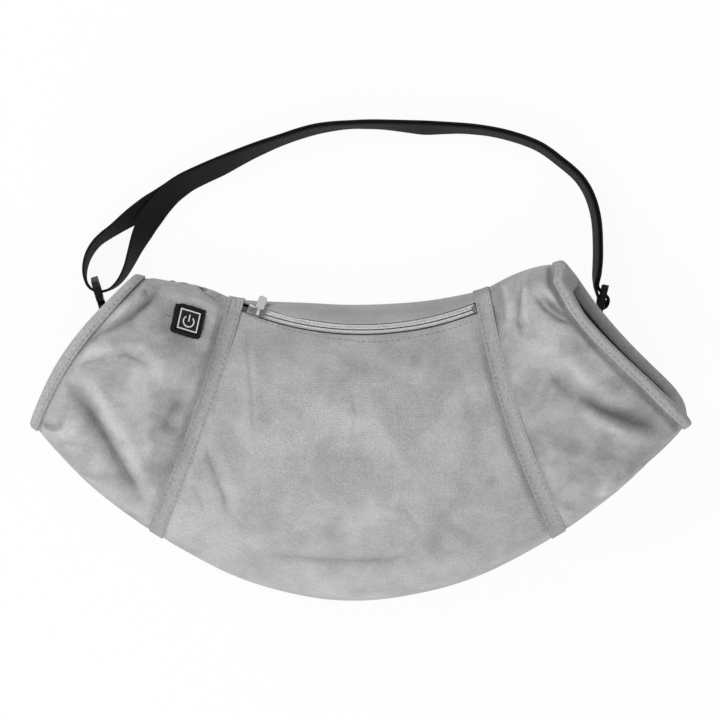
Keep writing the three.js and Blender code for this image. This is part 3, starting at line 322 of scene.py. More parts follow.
def webbing_finish(name, level, guided):
    """Nylon webbing. Only a guided one has ribs, which follow its attributes."""
    finish = Finish(name, Roughness=0.75, Specular_IOR_Level=0.18)
    fleck = finish.noise(YARN_SIZE, 2, 0.7)
    cloud = finish.noise(FADE_SIZE, 2)
    weave = fleck
    if guided:
        ribs = (finish.attribute("across") * (2 * math.pi / RIB_WIDTH)).sine()
        picks = (finish.attribute("along") * (2 * math.pi / PICK_LENGTH) + ribs * 1.5).sine()
        weave = ribs * 0.5 + picks * 0.25 + fleck * 0.3
    finish.colour(weave * (level * 0.25) + cloud * (level * 0.3) + level * 0.7)
    finish.bump(weave, RIB_DEPTH, 0.5)
    return finish


strap_cloth = webbing_finish("strap_webbing_cloth", 0.008, True)
patch_cloth = webbing_finish("patch_cloth", 0.011, False)
print(len(bpy.data.materials), "finishes so far")

# %% [markdown]
# ## Plastic and metal
# The hooks, rings and adjuster are black acetal, a plastic with a satin face. The zip's slider and
# stops are dull nickel, and its pull is pale lacquer. One even grey would look like a toy: a fine
# grain in the roughness and a faint cloud in the colour make them look moulded or cast.

# %% Plastic and metal
GRAIN_SIZE = 0.0012
SMEAR_SIZE = 0.008
BRUSH_SIZE = 0.0016
TARNISH_SIZE = 0.006
METAL_WARMTH = 0.01
BOARD_FLECK = 0.004
BOARD_DARK, BOARD_LIGHT = (0.02, 0.12, 0.05), (0.03, 0.18, 0.08)


def grey(level, warmth=0.0):
    """A grey colour. Warmth adds red and takes blue."""
    return (level * (1 + warmth), level, level * (1 - warmth))


def plastic_finish(name, dark, light, roughness, shine=0.5):
    """Moulded plastic or lacquer, whose grey goes from dark to light in a faint cloud."""
    finish = Finish(name, Specular_IOR_Level=shine)
    grain = finish.noise(GRAIN_SIZE, 3)
    finish.colour(finish.blend(finish.noise(SMEAR_SIZE, 2), grey(dark), grey(light)))
    finish.roughness(grain * 0.12 + roughness)
    finish.bump(grain, 0.0001, 0.35)
    return finish


def metal_finish(name, level, roughness):
    """Brushed metal, a little worn in places."""
    finish = Finish(name, Metallic=1.0)
    brushed = finish.noise(BRUSH_SIZE, 3, 0.6, (1, 6, 1))
    worn, bright = grey(level * 0.85, METAL_WARMTH), grey(level * 1.1, METAL_WARMTH)
    finish.colour(finish.blend(finish.noise(TARNISH_SIZE), worn, bright))
    finish.roughness(brushed * 0.2 + roughness)
    finish.bump(brushed, 0.00005, 0.3)
    return finish


acetal = plastic_finish("black_acetal", 0.006, 0.011, 0.42, 0.2)
button_face = plastic_finish("button_face", 0.009, 0.015, 0.5, 0.3)
nickel = metal_finish("dull_nickel", 0.36, 0.28)
lacquer = plastic_finish("pale_lacquer", 0.50, 0.60, 0.35)
board = plastic_finish("board_green", 0.05, 0.08, 0.4)
board.colour(board.blend(board.noise(BOARD_FLECK), BOARD_DARK, BOARD_LIGHT))
film = plastic_finish("heater_film", 0.05, 0.09, 0.5)
print_white = plastic_finish("printed_white", 0.62, 0.75, 0.6)
print(len(bpy.data.materials), "finishes in all")

# %% [markdown]
# ## Solids that keep their shape
# The hard pieces, and the wadding and backing that nobody sees, are right as they were measured.
# Making them again would only bring mistakes, so each of them just gets its finish.

# %% Finishes for solids
FINISHES = {
    acetal: ["left_ring", "right_ring", "left_hook", "right_hook", "left_hook_gate",
             "right_hook_gate", "left_swivel_eye", "right_swivel_eye", "strap_adjuster",
             "switch_housing", "heater_lead"],
    button_face: ["switch_button"],
    nickel: ["zip_slider", "zip_closed_stop", "zip_open_stop", "left_gate_pin",
             "right_gate_pin", "lead_eyelet", "switch_dome"],
    lacquer: ["zip_pull"],
    chain: ["zip_upper_teeth", "zip_lower_teeth"],
    board: ["circuit_board"],
    film: ["heating_pad"],
    wadding: ["front_wadding", "back_wadding"],
    backing_knit: ["pocket_backing"],
}
for finish, names in FINISHES.items():
    for node_name in names:
        slots = nodes[node_name].data.materials
        slots.clear()
        slots.append(finish.material)
print(sum(map(len, FINISHES.values())), "solids keep their shape and get a finish")

# %% [markdown]
# ## Folds
# The real cloth is gathered at the rims and pulled by its seams. A cloth simulation would find
# folds of its own, so each one is a line drawn on the photograph instead, with a width and a
# height: positive for a ridge, negative for a valley. A later cell scales all the heights together.

# %% Fold lines: picture points, width and height in millimetres
FOLDS = [
    # left panel: the roll beside the rim, and the long diagonal valley
    ([(162, 288), (147, 305), (130, 318), (105, 328), (82, 348)], 3.2, -2.2),
    ([(154, 283), (136, 304), (112, 317), (88, 332)], 4.5, 2.0),
    ([(113, 330), (92, 338), (76, 352)], 4.0, 1.4),
    ([(70, 371), (97, 361), (130, 355), (160, 367)], 3.0, -1.2),
    ([(72, 362), (100, 351), (135, 345), (168, 356)], 6.0, 1.8),
    ([(66, 376), (90, 405), (110, 440), (128, 475), (145, 500)], 5.0, -2.6),
    ([(80, 372), (104, 398), (124, 432), (140, 465), (153, 490)], 8.0, 2.4),
    ([(56, 400), (78, 430), (98, 462), (118, 490)], 9.0, 1.6),
    ([(232, 300), (226, 322), (222, 345)], 3.0, -1.8),
    ([(222, 300), (214, 325), (205, 350)], 3.5, 1.2),
    ([(205, 350), (180, 362), (150, 372)], 7.0, 1.6),
    ([(200, 398), (178, 410), (162, 430)], 8.0, -1.6),
    ([(196, 440), (165, 445), (140, 448)], 7.0, 1.6),
    ([(190, 462), (170, 470), (150, 484)], 6.0, -1.4),
    # pocket: soft pulls from its upper corners and a shallow crease above its lower edge
    ([(252, 330), (254, 375), (250, 430)], 6.0, 1.0),
    ([(206, 442), (221, 475), (229, 505), (245, 528)], 2.2, -1.1),
    ([(215, 440), (230, 474), (238, 505)], 5.0, 0.9),
    ([(275, 553), (330, 558), (390, 558), (420, 548)], 3.5, -0.9),
    ([(440, 345), (428, 360), (418, 385)], 4.0, 0.9),
    ([(452, 352), (470, 400), (480, 450)], 6.0, -0.8),
    ([(440, 505), (455, 525), (480, 540)], 4.5, -0.9),
    ([(290, 400), (340, 420), (400, 415)], 16.0, 1.2),
    ([(300, 500), (350, 512), (410, 500)], 15.0, 1.0),
    # right panel: gathers by the seam, folds off the rim and the broad diagonal valley
    ([(498, 283), (500, 305), (499, 330)], 2.2, -2.2),
    ([(506, 280), (508, 305), (507, 335)], 3.0, 2.0),
    ([(516, 290), (521, 312), (522, 332)], 2.4, -1.8),
    ([(526, 278), (525, 300), (527, 330)], 3.0, 1.6),
    ([(542, 298), (557, 312), (575, 322), (584, 329)], 2.2, -1.8),
    ([(545, 290), (562, 303), (578, 314)], 3.0, 1.4),
    ([(540, 362), (567, 386), (600, 408), (637, 420), (658, 425)], 6.0, -2.8),
    ([(556, 352), (582, 378), (612, 396), (640, 400)], 6.5, 2.6),
    ([(575, 408), (612, 426), (645, 437), (658, 443)], 5.5, 2.4),
    ([(560, 440), (600, 452), (632, 462)], 9.0, -1.8),
    ([(628, 472), (640, 463), (652, 456)], 3.2, -2.0),
    ([(520, 400), (530, 440), (545, 470)], 8.0, -1.4),
    ([(570, 505), (600, 492), (625, 478)], 10.0, 2.0),
    ([(530, 330), (540, 345), (565, 350)], 6.0, 1.4),
]
print(len(FOLDS), "folds")

# %% [markdown]
# ## Where the cloth is held
# Seams, bindings, the zip and the switch hold the cloth down, and the wadding lifts it between
# them. These lines follow the sewing in the photograph. The number beside each line says over how
# many millimetres the cloth rises: slowly from the zip, fast from a rim.

# %% Held lines: picture points, and the rise in millimetres
LEFT_SEAM = [(237.2, 297.4), (232, 316.1), (226.9, 334.3), (218.2, 364.1), (205.6, 403.2),
             (191.3, 444.3), (176.5, 483), (164.5, 512.7), (158, 528.6), (155.1, 535.5)]
RIGHT_SEAM = [(481.7, 292.5), (484.8, 309.1), (486.5, 318.2), (490.2, 336.3), (496.9, 365.7),
              (507.6, 404.2), (521.4, 445), (536.9, 483.4), (549.8, 512.8), (556.8, 528.7),
              (559.9, 535.5)]
LEFT_FLAP = [(145.2, 276.4), (133.7, 288.9), (122.5, 301.1), (105.1, 320.7), (84.5, 346),
             (66.3, 372.6), (52.5, 397.6), (43.6, 416.6), (37.2, 431.1)]
LEFT_RIM = [(134.5, 275.3), (123, 286.9), (111.9, 298.4), (94.8, 316.9), (74.9, 341.2),
            (57.7, 366.8), (44.8, 391.1), (36.6, 409.6), (30.7, 423.9)]
RIGHT_FLAP = [(552.1, 262.9), (553.6, 265.7), (552.8, 277.5), (552.6, 284), (559.6, 296.6),
              (571.7, 316.8), (593.9, 342.7), (621.1, 369.8), (647.6, 395.1), (667.5, 414.4),
              (683.6, 429.3)]
RIGHT_RIM = [(563.4, 261.8), (564.8, 264.4), (562.9, 275.2), (562.1, 281.1), (568.7, 292.9),
             (580.2, 312), (602.1, 337), (628.9, 363.6), (655, 388.6), (674.6, 407.7),
             (690.4, 422.5)]
ZIP_LINE = [(247, 309), (290, 321), (330, 329), (362, 331), (395, 329), (435, 321), (477, 309)]
SEAM_RISE, RIM_RISE, ZIP_RISE = 7.5, 4, 24
HELD = [(LEFT_SEAM, SEAM_RISE), (RIGHT_SEAM, SEAM_RISE), (LEFT_FLAP, RIM_RISE),
        (LEFT_RIM, RIM_RISE), (RIGHT_FLAP, RIM_RISE), (RIGHT_RIM, RIM_RISE), (ZIP_LINE, ZIP_RISE)]
PATCH_MIDDLE, PATCH_REACH = (189.5, 322.5), 24
print(len(HELD), "held lines")

# %% [markdown]
# ## Painted light and shade, and light and dark pile
# Along the folds, strokes paint light on a ridge and shade in a valley. Elsewhere a hand has
# brushed or pressed the pile the other way, and the plush looks lighter or darker. An image could
# be painted for that, but lines stay sharp at any size. A stroke has a width in millimetres and a
# change of shade. A dent is a round spot, its radius in picture points.

# %% Strokes and dents
STROKES = [
    ([(67, 380), (105, 430), (130, 475), (147, 505)], 6, -0.12),
    ([(80, 364), (115, 360), (150, 364)], 7, 0.06),
    ([(60, 410), (85, 455), (110, 488)], 9, 0.05),
    ([(175, 385), (172, 415)], 10, -0.09),
    ([(135, 300), (105, 322)], 4, 0.07),
    ([(535, 332), (575, 334)], 6, 0.07),
    ([(557, 352), (590, 375), (620, 386)], 5, 0.07),
    ([(570, 392), (610, 412), (662, 426)], 5, -0.13),
    ([(575, 405), (615, 428), (657, 445)], 4, 0.07),
    ([(535, 415), (570, 440), (615, 460)], 15, -0.07),
    ([(587, 495), (612, 486), (637, 475)], 9, 0.07),
    ([(505, 345), (512, 380)], 7, -0.05),
    ([(512, 345), (527, 400), (548, 455)], 12, -0.05),
    ([(562, 362), (592, 396), (630, 414)], 9, -0.04),
    ([(562, 512), (602, 494), (640, 466)], 8, 0.05),
    ([(275, 345), (330, 352), (400, 352)], 12, 0.03),
    ([(265, 470), (330, 485), (400, 470)], 20, -0.03),
    ([(240, 555), (330, 585), (430, 580), (500, 560)], 9, 0.05),
]
DENTS = [
    ((382, 491), 10, -0.10), ((434, 542), 9, -0.10), ((415, 361), 7, -0.10),
    ((322, 372), 8, -0.06), ((353, 455), 9, -0.05), ((452, 425), 10, -0.05),
    ((268, 415), 9, -0.04), ((300, 540), 10, -0.05), ((490, 480), 5, -0.12),
    ((382, 400), 6, -0.07), ((307, 482), 6, -0.08), ((328, 529), 7, -0.08),
]
print(len(STROKES), "strokes and", len(DENTS), "dents")

# %% [markdown]
# ## Creases
# Where two folds meet, the plush is pinched to a narrow line that lies in shade. A fold is too
# broad for that, so a crease is listed by itself: a narrow line that dips and is darkened with
# painted shade, width and depth in millimetres.

# %% Creases
CREASES = [
    ([(80, 395), (92.5, 409), (106, 431), (120, 457), (135, 482), (145, 500)], 1.3, -1.0),
    ([(164, 284), (155, 299), (132, 320), (102, 335), (77, 355), (67, 368)], 1.3, -1.2),
    ([(71, 368), (107, 358), (128, 355), (152, 365), (160, 373)], 1.0, -0.6),
    ([(229, 300), (227.5, 320), (223.5, 340), (216, 362)], 1.1, -1.4),
    ([(146, 290), (149, 297)], 1.4, -0.8),
    ([(184, 398), (172, 412), (166, 432)], 2.0, -0.6),
    ([(150, 430), (168, 426), (184, 430)], 2.0, -0.5),
    ([(204, 440), (212.5, 465), (225, 497), (228, 520)], 1.0, -0.8),
    ([(192, 480), (200, 495), (206, 512)], 1.2, -0.5),
    ([(249, 320), (248, 350), (252, 390), (254, 440)], 1.2, -0.6),
    ([(265, 552), (330, 559), (390, 558), (425, 548)], 1.3, -0.6),
    ([(395, 498), (410, 515), (425, 540)], 1.3, -0.35),
    ([(352, 385), (356, 420), (350, 450)], 1.6, -0.3),
    ([(489, 296), (495, 314), (499, 332)], 1.2, -1.2),
    ([(498, 282), (503, 300), (505, 325)], 1.1, -0.7),
    ([(524, 280), (521, 292), (519, 305), (517.5, 320), (522, 338)], 1.1, -1.1),
    ([(532, 294), (545, 311), (557, 320), (575, 326)], 1.2, -1.2),
    ([(540, 292), (552, 306), (566, 315)], 1.1, -0.6),
    ([(577, 328), (590, 345), (606, 362)], 1.1, -0.6),
    ([(572, 393), (600, 410), (632, 423), (660, 428)], 1.5, -0.9),
    ([(548, 372), (560, 388), (575, 400)], 1.5, -0.6),
    ([(626, 474), (640, 464), (653, 456)], 1.3, -0.9),
    ([(560, 470), (580, 480), (600, 482)], 1.8, -0.4),
]
print(len(CREASES), "creases")

# %% [markdown]
# ## Distance from a line
# Folds, strokes, creases and seams ask the same question: how far is each point of the cloth from
# that line? One helper answers it for all the points at once, which numpy does fast.

# %% Distance from a line
def along_line(points, line):
    """Distance from each point to a line, and how far along the line that is, 0 to 1."""
    stops = np.array([seen(*spot) for spot in line])
    spans = np.linalg.norm(np.diff(stops, axis=0), axis=1)
    before = np.concatenate([[0], np.cumsum(spans)])
    best = np.full(len(points), np.inf)
    place = np.zeros(len(points))
    for start, end, length, offset in zip(stops, stops[1:], spans, before):
        share = np.clip(((points - start) @ (end - start)) / length ** 2, 0, 1)
        gap = np.linalg.norm(points - (start + share[:, None] * (end - start)), axis=1)
        nearer = gap < best
        best = np.where(nearer, gap, best)
        place = np.where(nearer, (offset + share * length) / before[-1], place)
    return best, place


def spot_gap(points, centre, radius):
    """How far each point is from a round spot's centre, in radii."""
    return np.linalg.norm(points - np.array(seen(*centre)), axis=1) / (radius * MM_PER_PIXEL * MM)


middle_gap = along_line(np.array([seen(*ORIGIN_PIXEL)]), LEFT_SEAM)[0][0]
print("the left seam runs", round(middle_gap / MM), "mm from the middle")

# %% [markdown]
# ## Strokes and ripples
# Each line becomes a soft band that fades at its two ends. Cloth bends round its filling but
# pinches where it is pulled in, so a valley may have a sharper bottom than a ridge: the smaller
# the power, the sharper. Noise with a fixed start adds the unevenness of the wadding.

# %% Strokes and ripples
END_TAPER = 0.25
ROUND_POWER, SHARP_POWER = 2.0, 1.25


def strokes_sum(points, strokes, end_share, valley_power=ROUND_POWER):
    """The sum of strokes at each point, each one fading to end_share at its two ends."""
    total = np.zeros(len(points))
    for line, width, amount in strokes:
        gap, place = along_line(points, line)
        taper = np.clip(np.minimum(place, 1 - place) / END_TAPER, 0, 1)
        taper = end_share + (1 - end_share) * taper * taper * (3 - 2 * taper)
        power = ROUND_POWER if amount > 0 else valley_power
        total += amount * taper * np.exp(-((gap / (width * MM)) ** power))
    return total


def ripple(points, size, seed):
    """Smooth unevenness between -1 and 1, with lumps about size metres across."""
    return np.array([noise.noise((x / size + seed, y / size - seed, seed)) for x, y in points])


fold_here = strokes_sum(np.array([seen(*FOLDS[0][0][2])]), FOLDS[:1], 0)[0]
print("the first line of the folds stands for", round(fold_here, 1), "mm at its middle")

# %% [markdown]
# ## Relief
# Together the lines say how far the cloth stands out of its solid. Where it is free the wadding
# lifts it by LIFT millimetres, and folds, creases and ripples add to that. A soft floor stops a
# valley before it sinks into the solid. The same sums give the shade that is painted into the
# colour: painted light on a ridge, painted shade in a valley, in a crease and beside a seam, and
# the lighter and darker strokes and dents of the pile.

# %% Relief
LIFT = 4.6
FLOOR_SOFTNESS = 0.5
FOLD_HEIGHT, FOLD_END = 1.6, 0.25
CREASE_HEIGHT, CREASE_END = 2.0, 0.1
RIPPLES = [(0.022, 3, 0.9), (0.009, 7, 0.35)]
LINE_POWER, PATCH_POWER, DENT_POWER = 4, 5, 4
STROKE_SHADE, DENT_SHADE, CREASE_SHADE, FOLD_SHADE = 1.9, 1.3, 0.10, 0.055
FOLD_SHADE_LIMIT = 3
HELD_SHADE = 0.93


def freedom(points):
    """0 where the cloth is held down, 1 where the wadding can lift it."""
    free = np.ones(len(points))
    for line, rise in HELD:
        free *= 1 - np.exp(-((along_line(points, line)[0] / (rise * MM)) ** LINE_POWER))
    return free * (1 - np.exp(-(spot_gap(points, PATCH_MIDDLE, PATCH_REACH) ** PATCH_POWER)))


def relief(points):
    """How far the cloth stands out of its solid, in metres, and its painted shade and pile tone."""
    free = freedom(points)
    uneven = sum(ripple(points, size, seed) * height for size, seed, height in RIPPLES)
    creased = strokes_sum(points, CREASES, CREASE_END, SHARP_POWER) * CREASE_HEIGHT
    folded = strokes_sum(points, FOLDS, FOLD_END, SHARP_POWER) * FOLD_HEIGHT + creased + uneven
    height = LIFT + folded
    height = (height + np.sqrt(height ** 2 + FLOOR_SOFTNESS ** 2)) / 2
    # Painted light on the ridges and painted shade in the valleys and creases, with the pile's
    # strokes and dents.
    shade = 1 + strokes_sum(points, STROKES, 0.0) * STROKE_SHADE
    shade += np.clip(folded, -FOLD_SHADE_LIMIT, FOLD_SHADE_LIMIT) * FOLD_SHADE
    shade += creased * CREASE_SHADE
    for centre, radius, amount in DENTS:
        shade += amount * DENT_SHADE * np.exp(-(spot_gap(points, centre, radius) ** DENT_POWER))
    # Painted shade beside the seams, the rims, the zip and the switch, where the cloth is held
    # down.
    shade *= HELD_SHADE + (1 - HELD_SHADE) * free
    return height * free * MM, shade


pocket_rise = relief(np.array([seen(362, 450)]))[0][0]
print("the pocket's middle rises", round(pocket_rise / MM, 1), "mm")

# %% [markdown]
# ## Meshes as numbers
# A piece is shaped in three places: in a bmesh, by modifiers, and as arrays of numbers that numpy
# can move all at once. These helpers take a mesh from one to the next.

# %% Mesh helpers
def new_piece(bm, name):
    """A bmesh as an object in the scene. The bmesh is used up."""
    mesh = bpy.data.meshes.new(name)
    bm.to_mesh(mesh)
    bm.free()
    piece = bpy.data.objects.new(name, mesh)
    bpy.context.scene.collection.objects.link(piece)
    return piece


def mesh_arrays(mesh):
    """The places and normals of a mesh's points."""
    points = np.zeros(len(mesh.vertices) * 3)
    mesh.vertices.foreach_get("co", points)
    normals = np.zeros(len(mesh.vertices) * 3)
    mesh.vertices.foreach_get("normal", normals)
    return points.reshape(-1, 3), normals.reshape(-1, 3)


def shaped_mesh(piece):
    """The mesh as the piece's modifiers make it."""
    bpy.context.view_layer.update()
    graph = bpy.context.evaluated_depsgraph_get()
    return bpy.data.meshes.new_from_object(piece.evaluated_get(graph))


panel_points = mesh_arrays(nodes["left_front_panel"].data)[0]
print("the left panel's solid has", len(panel_points), "loose points")

# %% [markdown]
# ## A smooth copy of a solid
# The cloth could be drawn anew, but its solid already fits the pieces round it. So the loose
# triangles of a copy are merged and joined to four-sided faces, the edges of the cloth are creased,
# and the rest is subdivided smoothly. That pulls a coarse shape inwards, so the copy is pushed out,
# round by round, until its own corners lie where the solid has them.

# %% Smooth copy
SHARP_ANGLE = math.radians(55)
FLAT_ANGLE, SKEW_ANGLE = math.radians(25), math.radians(70)
MERGE_GAP = 1e-5
PUSH_ROUNDS = 4


def smooth_copy(node_name, piece_name, levels, sharpness, rounds):
    """A smooth piece whose corners lie where the solid has them. Sharpness is for its edges."""
    bm = bmesh.new()
    bm.from_mesh(nodes[node_name].data)
    bmesh.ops.remove_doubles(bm, verts=bm.verts, dist=MERGE_GAP)
    bmesh.ops.join_triangles(bm, faces=bm.faces, angle_face_threshold=FLAT_ANGLE,
                             angle_shape_threshold=SKEW_ANGLE)
    crease = bm.edges.layers.float.new("crease_edge")
    for edge in bm.edges:
        edge[crease] = sharpness if edge.calc_face_angle(0) > SHARP_ANGLE else 0.0
    piece = new_piece(bm, piece_name)
    goal = mesh_arrays(piece.data)[0]
    cage = goal.copy()
    rounding = piece.modifiers.new("rounding", "SUBSURF")
    rounding.levels = rounding.render_levels = levels
    for _ in range(rounds):
        trial = shaped_mesh(piece)
        cage += goal - mesh_arrays(trial)[0][:len(goal)]
        bpy.data.meshes.remove(trial)
        piece.data.vertices.foreach_set("co", cage.ravel())
        piece.data.update()
    shaped = shaped_mesh(piece)
    piece.modifiers.clear()
    old = piece.data
    piece.data = shaped
    bpy.data.meshes.remove(old)
    shaped.name = piece_name
    shaped.polygons.foreach_set("use_smooth", [True] * len(shaped.polygons))
    return piece


print("edges bent by more than", round(math.degrees(SHARP_ANGLE)), "degrees stay sharp")

# %% [markdown]
# ## Which side is out
# A cloth has two sides, and both must move the same way, or it would get thicker and thinner. The
# muff is a tube round a bent middle line. A normal that points to that line is turned round.

# %% Outer side
MIDDLE_SHARE = 0.9
MIDDLE_Y, MIDDLE_BEND = -0.061, 0.5
MIDDLE_Z, END_LIFT, END_START = 0.030, 0.30, 0.09


def outward(points, normals):
    """The normals of the outer side, also for points of the inner side."""
    middle = np.empty_like(points)
    middle[:, 0] = points[:, 0] * MIDDLE_SHARE
    middle[:, 1] = MIDDLE_Y + MIDDLE_BEND * points[:, 0] ** 2
    middle[:, 2] = MIDDLE_Z + END_LIFT * np.clip(np.abs(points[:, 0]) - END_START, 0, None)
    side = np.sign(np.sum(normals * (points - middle), axis=1))
    return normals * side[:, None]


back_normal = outward(np.array([[0, -0.06, 0.0]]), np.array([[0.0, 0.0, 1.0]]))[0, 2]
print("at the back, a normal that points up is turned to", back_normal)

# %% [markdown]
# ## Easing and folding
# A subdivision leaves small pinches at long thin faces, so the inner points are eased first, and
# the edges are left alone. Then the relief moves the cloth, mostly upwards, so that a panel's
# steep side doesn't swell over the tape beside it. The underside of the muff isn't moved at all.

# %% Ease and fold
EASE_ROUNDS = 8
UPWARD = 2.0
TOP_GAIN, TOP_EDGE = 1.7, 0.12


def ease(piece):
    """Smooths the small pinches of the subdivision, but no edge."""
    bm = bmesh.new()
    bm.from_mesh(piece.data)
    inner = [vert for vert in bm.verts
             if all(edge.calc_face_angle(0) < SHARP_ANGLE / 2 for edge in vert.link_edges)]
    for _ in range(EASE_ROUNDS):
        bmesh.ops.smooth_vert(bm, verts=inner, factor=0.5,
                              use_axis_x=True, use_axis_y=True, use_axis_z=True)
    bm.to_mesh(piece.data)
    bm.free()


def store(piece, name, values):
    """Gives each point of the mesh a number that its finish can read."""
    layer = piece.data.attributes.new(name, "FLOAT", "POINT")
    layer.data.foreach_set("value", values)


def fold(piece, amount):
    """Moves the cloth by its share of the relief and stores its painted shade and pile tone."""
    points, normals = mesh_arrays(piece.data)
    out = outward(points, normals)
    height, shade = relief(points[:, :2])
    facing_up = np.clip(out[:, 2] * TOP_GAIN - TOP_EDGE, 0, 1)
    lifted = out + np.array([0, 0, UPWARD])
    lifted /= np.linalg.norm(lifted, axis=1)[:, None]
    points += lifted * (height * amount * facing_up)[:, None]
    piece.data.vertices.foreach_set("co", points.ravel())
    piece.data.update()
    store(piece, "shade", 1 + (shade - 1) * facing_up)


whole_tilt = math.degrees(math.acos((1 + TOP_EDGE) / TOP_GAIN))
print("cloth tilted by less than", round(whole_tilt), "degrees takes the whole relief")

# %% [markdown]
# ## Dressing a piece
# A finished piece gets its material and the body that it moves with, and the solids that it stands
# in for are hidden. Every piece needs them, so one helper gives all of them and none is forgotten.

# %% Dress
def dress(piece, finish, slot, *replaced, body="muff"):
    """Gives a piece its finish and its body, and names the solids it stands for. The slot is not
    used.
    """
    piece.data.materials.clear()
    piece.data.materials.append(finish.material)
    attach(piece, body)
    if replaced:
        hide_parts(*replaced)
    return piece


def cloth_area(piece):
    """Half of the surface of a thin closed piece, in square metres."""
    return sum(face.area for face in piece.data.polygons) / 2


print("the pocket's solid has", round(cloth_area(nodes["pocket_panel"]) * 1e4), "cm2 on each side")

# %% [markdown]
# ## Panels, linings, tapes and bindings
# Nineteen pieces of cloth are made the same way, so a table is enough. Each row names the solid,
# the levels of subdivision, the finish, the slot for a new look, and the share of the relief. Only
# the three front panels take the folds, and the other plush takes their shade. Tapes and bindings
# have softer edges. A tab that is folded flat isn't pushed out, because its layers would touch.

# %% Pieces of cloth
CLOTHS = [
    ("left_front_panel", 4, plush, "plush", 1.0),
    ("right_front_panel", 4, plush, "plush", 1.0),
    ("pocket_panel", 4, velour, "knit", 1.0),
    ("top_facing", 3, shaded_plush, "facing", 0.0),
    ("back_panel", 3, plush, "plush", 0.0),
    ("left_front_lining", 2, painted_shade_lining, "plush", 0.0),
    ("middle_front_lining", 2, painted_shade_lining, "plush", 0.0),
    ("right_front_lining", 2, painted_shade_lining, "plush", 0.0),
    ("left_back_lining", 2, painted_shade_lining, "plush", 0.0),
    ("middle_back_lining", 2, painted_shade_lining, "plush", 0.0),
    ("right_back_lining", 2, painted_shade_lining, "plush", 0.0),
    ("left_seam_tape", 3, tape, "trim", 0.0),
    ("right_seam_tape", 3, tape, "trim", 0.0),
    ("left_rim_binding", 2, binding, "trim", 0.0),
    ("right_rim_binding", 2, binding, "trim", 0.0),
    ("zip_upper_tape", 1, zip_cloth_with_painted_light, "trim", 0.0),
    ("zip_lower_tape", 1, zip_cloth_with_painted_light, "trim", 0.0),
    ("left_ring_tab", 1, patch_cloth, "black_webbing", 0.0),
    ("right_ring_tab", 1, patch_cloth, "black_webbing", 0.0),
]
SOFT_EDGES = {binding: 0.35, tape: 0.6}
ROUNDS = {patch_cloth: 0}
cloth = {}
for node_name, levels, finish, slot, amount in CLOTHS:
    softness = SOFT_EDGES.get(finish, 1.0)
    rounds = ROUNDS.get(finish, PUSH_ROUNDS)
    piece = smooth_copy(node_name, node_name + "_cloth", levels, softness, rounds)
    if amount:
        ease(piece)
    if finish in (plush, velour, shaded_plush, painted_shade_lining):
        fold(piece, amount)
    cloth[node_name] = dress(piece, finish, slot, node_name)
    print(piece.name, len(piece.data.polygons), "faces,", round(cloth_area(piece) * 1e4, 1), "cm2")

# %% [markdown]
# ## The strap's way
# The strap is one long webbing that bends and twists. Its way could be drawn as a new curve, but
# then it might miss the hooks. The solid is a long bar with four corners at every stop, so its own
# edges show the way. These helpers find the points next to a stop and put its corners in order.

# %% Corners in order
CORNERS = 4


def neighbours(ring):
    """The points that share an edge with a point of the ring."""
    return {edge.other_vert(vert) for vert in ring for edge in vert.link_edges}


def around_ring(four):
    """Four corners in order round their flat rectangle, starting with a long side."""
    start, *rest = four
    rest.sort(key=lambda corner: np.linalg.norm(corner - start))
    near, far, across = rest
    return np.array([start, far, across, near])


def matchings(corners):
    """The same four corners in each order that goes round them."""
    turned = [np.roll(corners, -step, axis=0) for step in range(CORNERS)]
    return turned + [order[::-1] for order in turned]


trial = around_ring([np.array(spot) for spot in ((0, 0), (4, 0), (0, 1), (4, 1))])
print("corners in order", trial.tolist())

# %% [markdown]
# ## Walking along the strap
# The walk starts from the four corners of one end. From each stop it goes to the neighbours that it
# hasn't met yet, until none is left. Then each stop's corners are turned to match the stop before,
# or the webbing would twist where the strap doesn't.

# %% The strap's stops
STOP_GAP = 1e-6
END_EDGES = 6


def strap_stops(mesh):
    """The four corners at every stop of the strap's solid, in order along it."""
    bm = bmesh.new()
    bm.from_mesh(mesh)
    bmesh.ops.remove_doubles(bm, verts=bm.verts, dist=STOP_GAP)
    bm.verts.index_update()
    ends = {vert for vert in bm.verts if len(vert.link_edges) < END_EDGES}
    ring = {min(ends, key=lambda vert: vert.index)}
    while True:
        wider = ring | (neighbours(ring) & ends)
        if len(wider) == len(ring) or len(wider) > CORNERS:
            break
        ring = wider
    stops, done = [], set()
    while ring:
        in_order = sorted(ring, key=lambda vert: vert.index)
        stops.append(around_ring([np.array(vert.co) for vert in in_order]))
        done |= ring
        ring = neighbours(ring) - done
    bm.free()
    for before, here in zip(stops, stops[1:]):
        here[:] = min(matchings(here), key=lambda order: np.linalg.norm(order - before))
    return np.array(stops)


coarse_stops = strap_stops(nodes["strap_webbing"].data)
print("the strap has", len(coarse_stops), "stops")

# %% [markdown]
# ## A smooth curve and a flat outline
# The stops are too few for round bends, so a smooth curve is laid through them. The webbing's
# outline gets rounded edges: the Solidify modifier would give square ones, which catch the light
# like sheet metal.

# %% Curve and outline
FACE_POINTS = 9
EDGE_POINTS = 3


def finer(stops, splits):
    """A smooth curve through the stops, with splits steps between each two."""
    padded = np.concatenate([2 * stops[:1] - stops[1:2], stops, 2 * stops[-1:] - stops[-2:-1]])
    made = []
    for a, b, c, d in zip(padded, padded[1:], padded[2:], padded[3:]):
        for step in range(splits):
            t = step / splits
            made.append(0.5 * (2 * b + (c - a) * t + (2 * a - 5 * b + 4 * c - d) * t * t
                               + (3 * b - a - 3 * c + d) * t ** 3))
    made.append(stops[-1])
    return np.array(made)


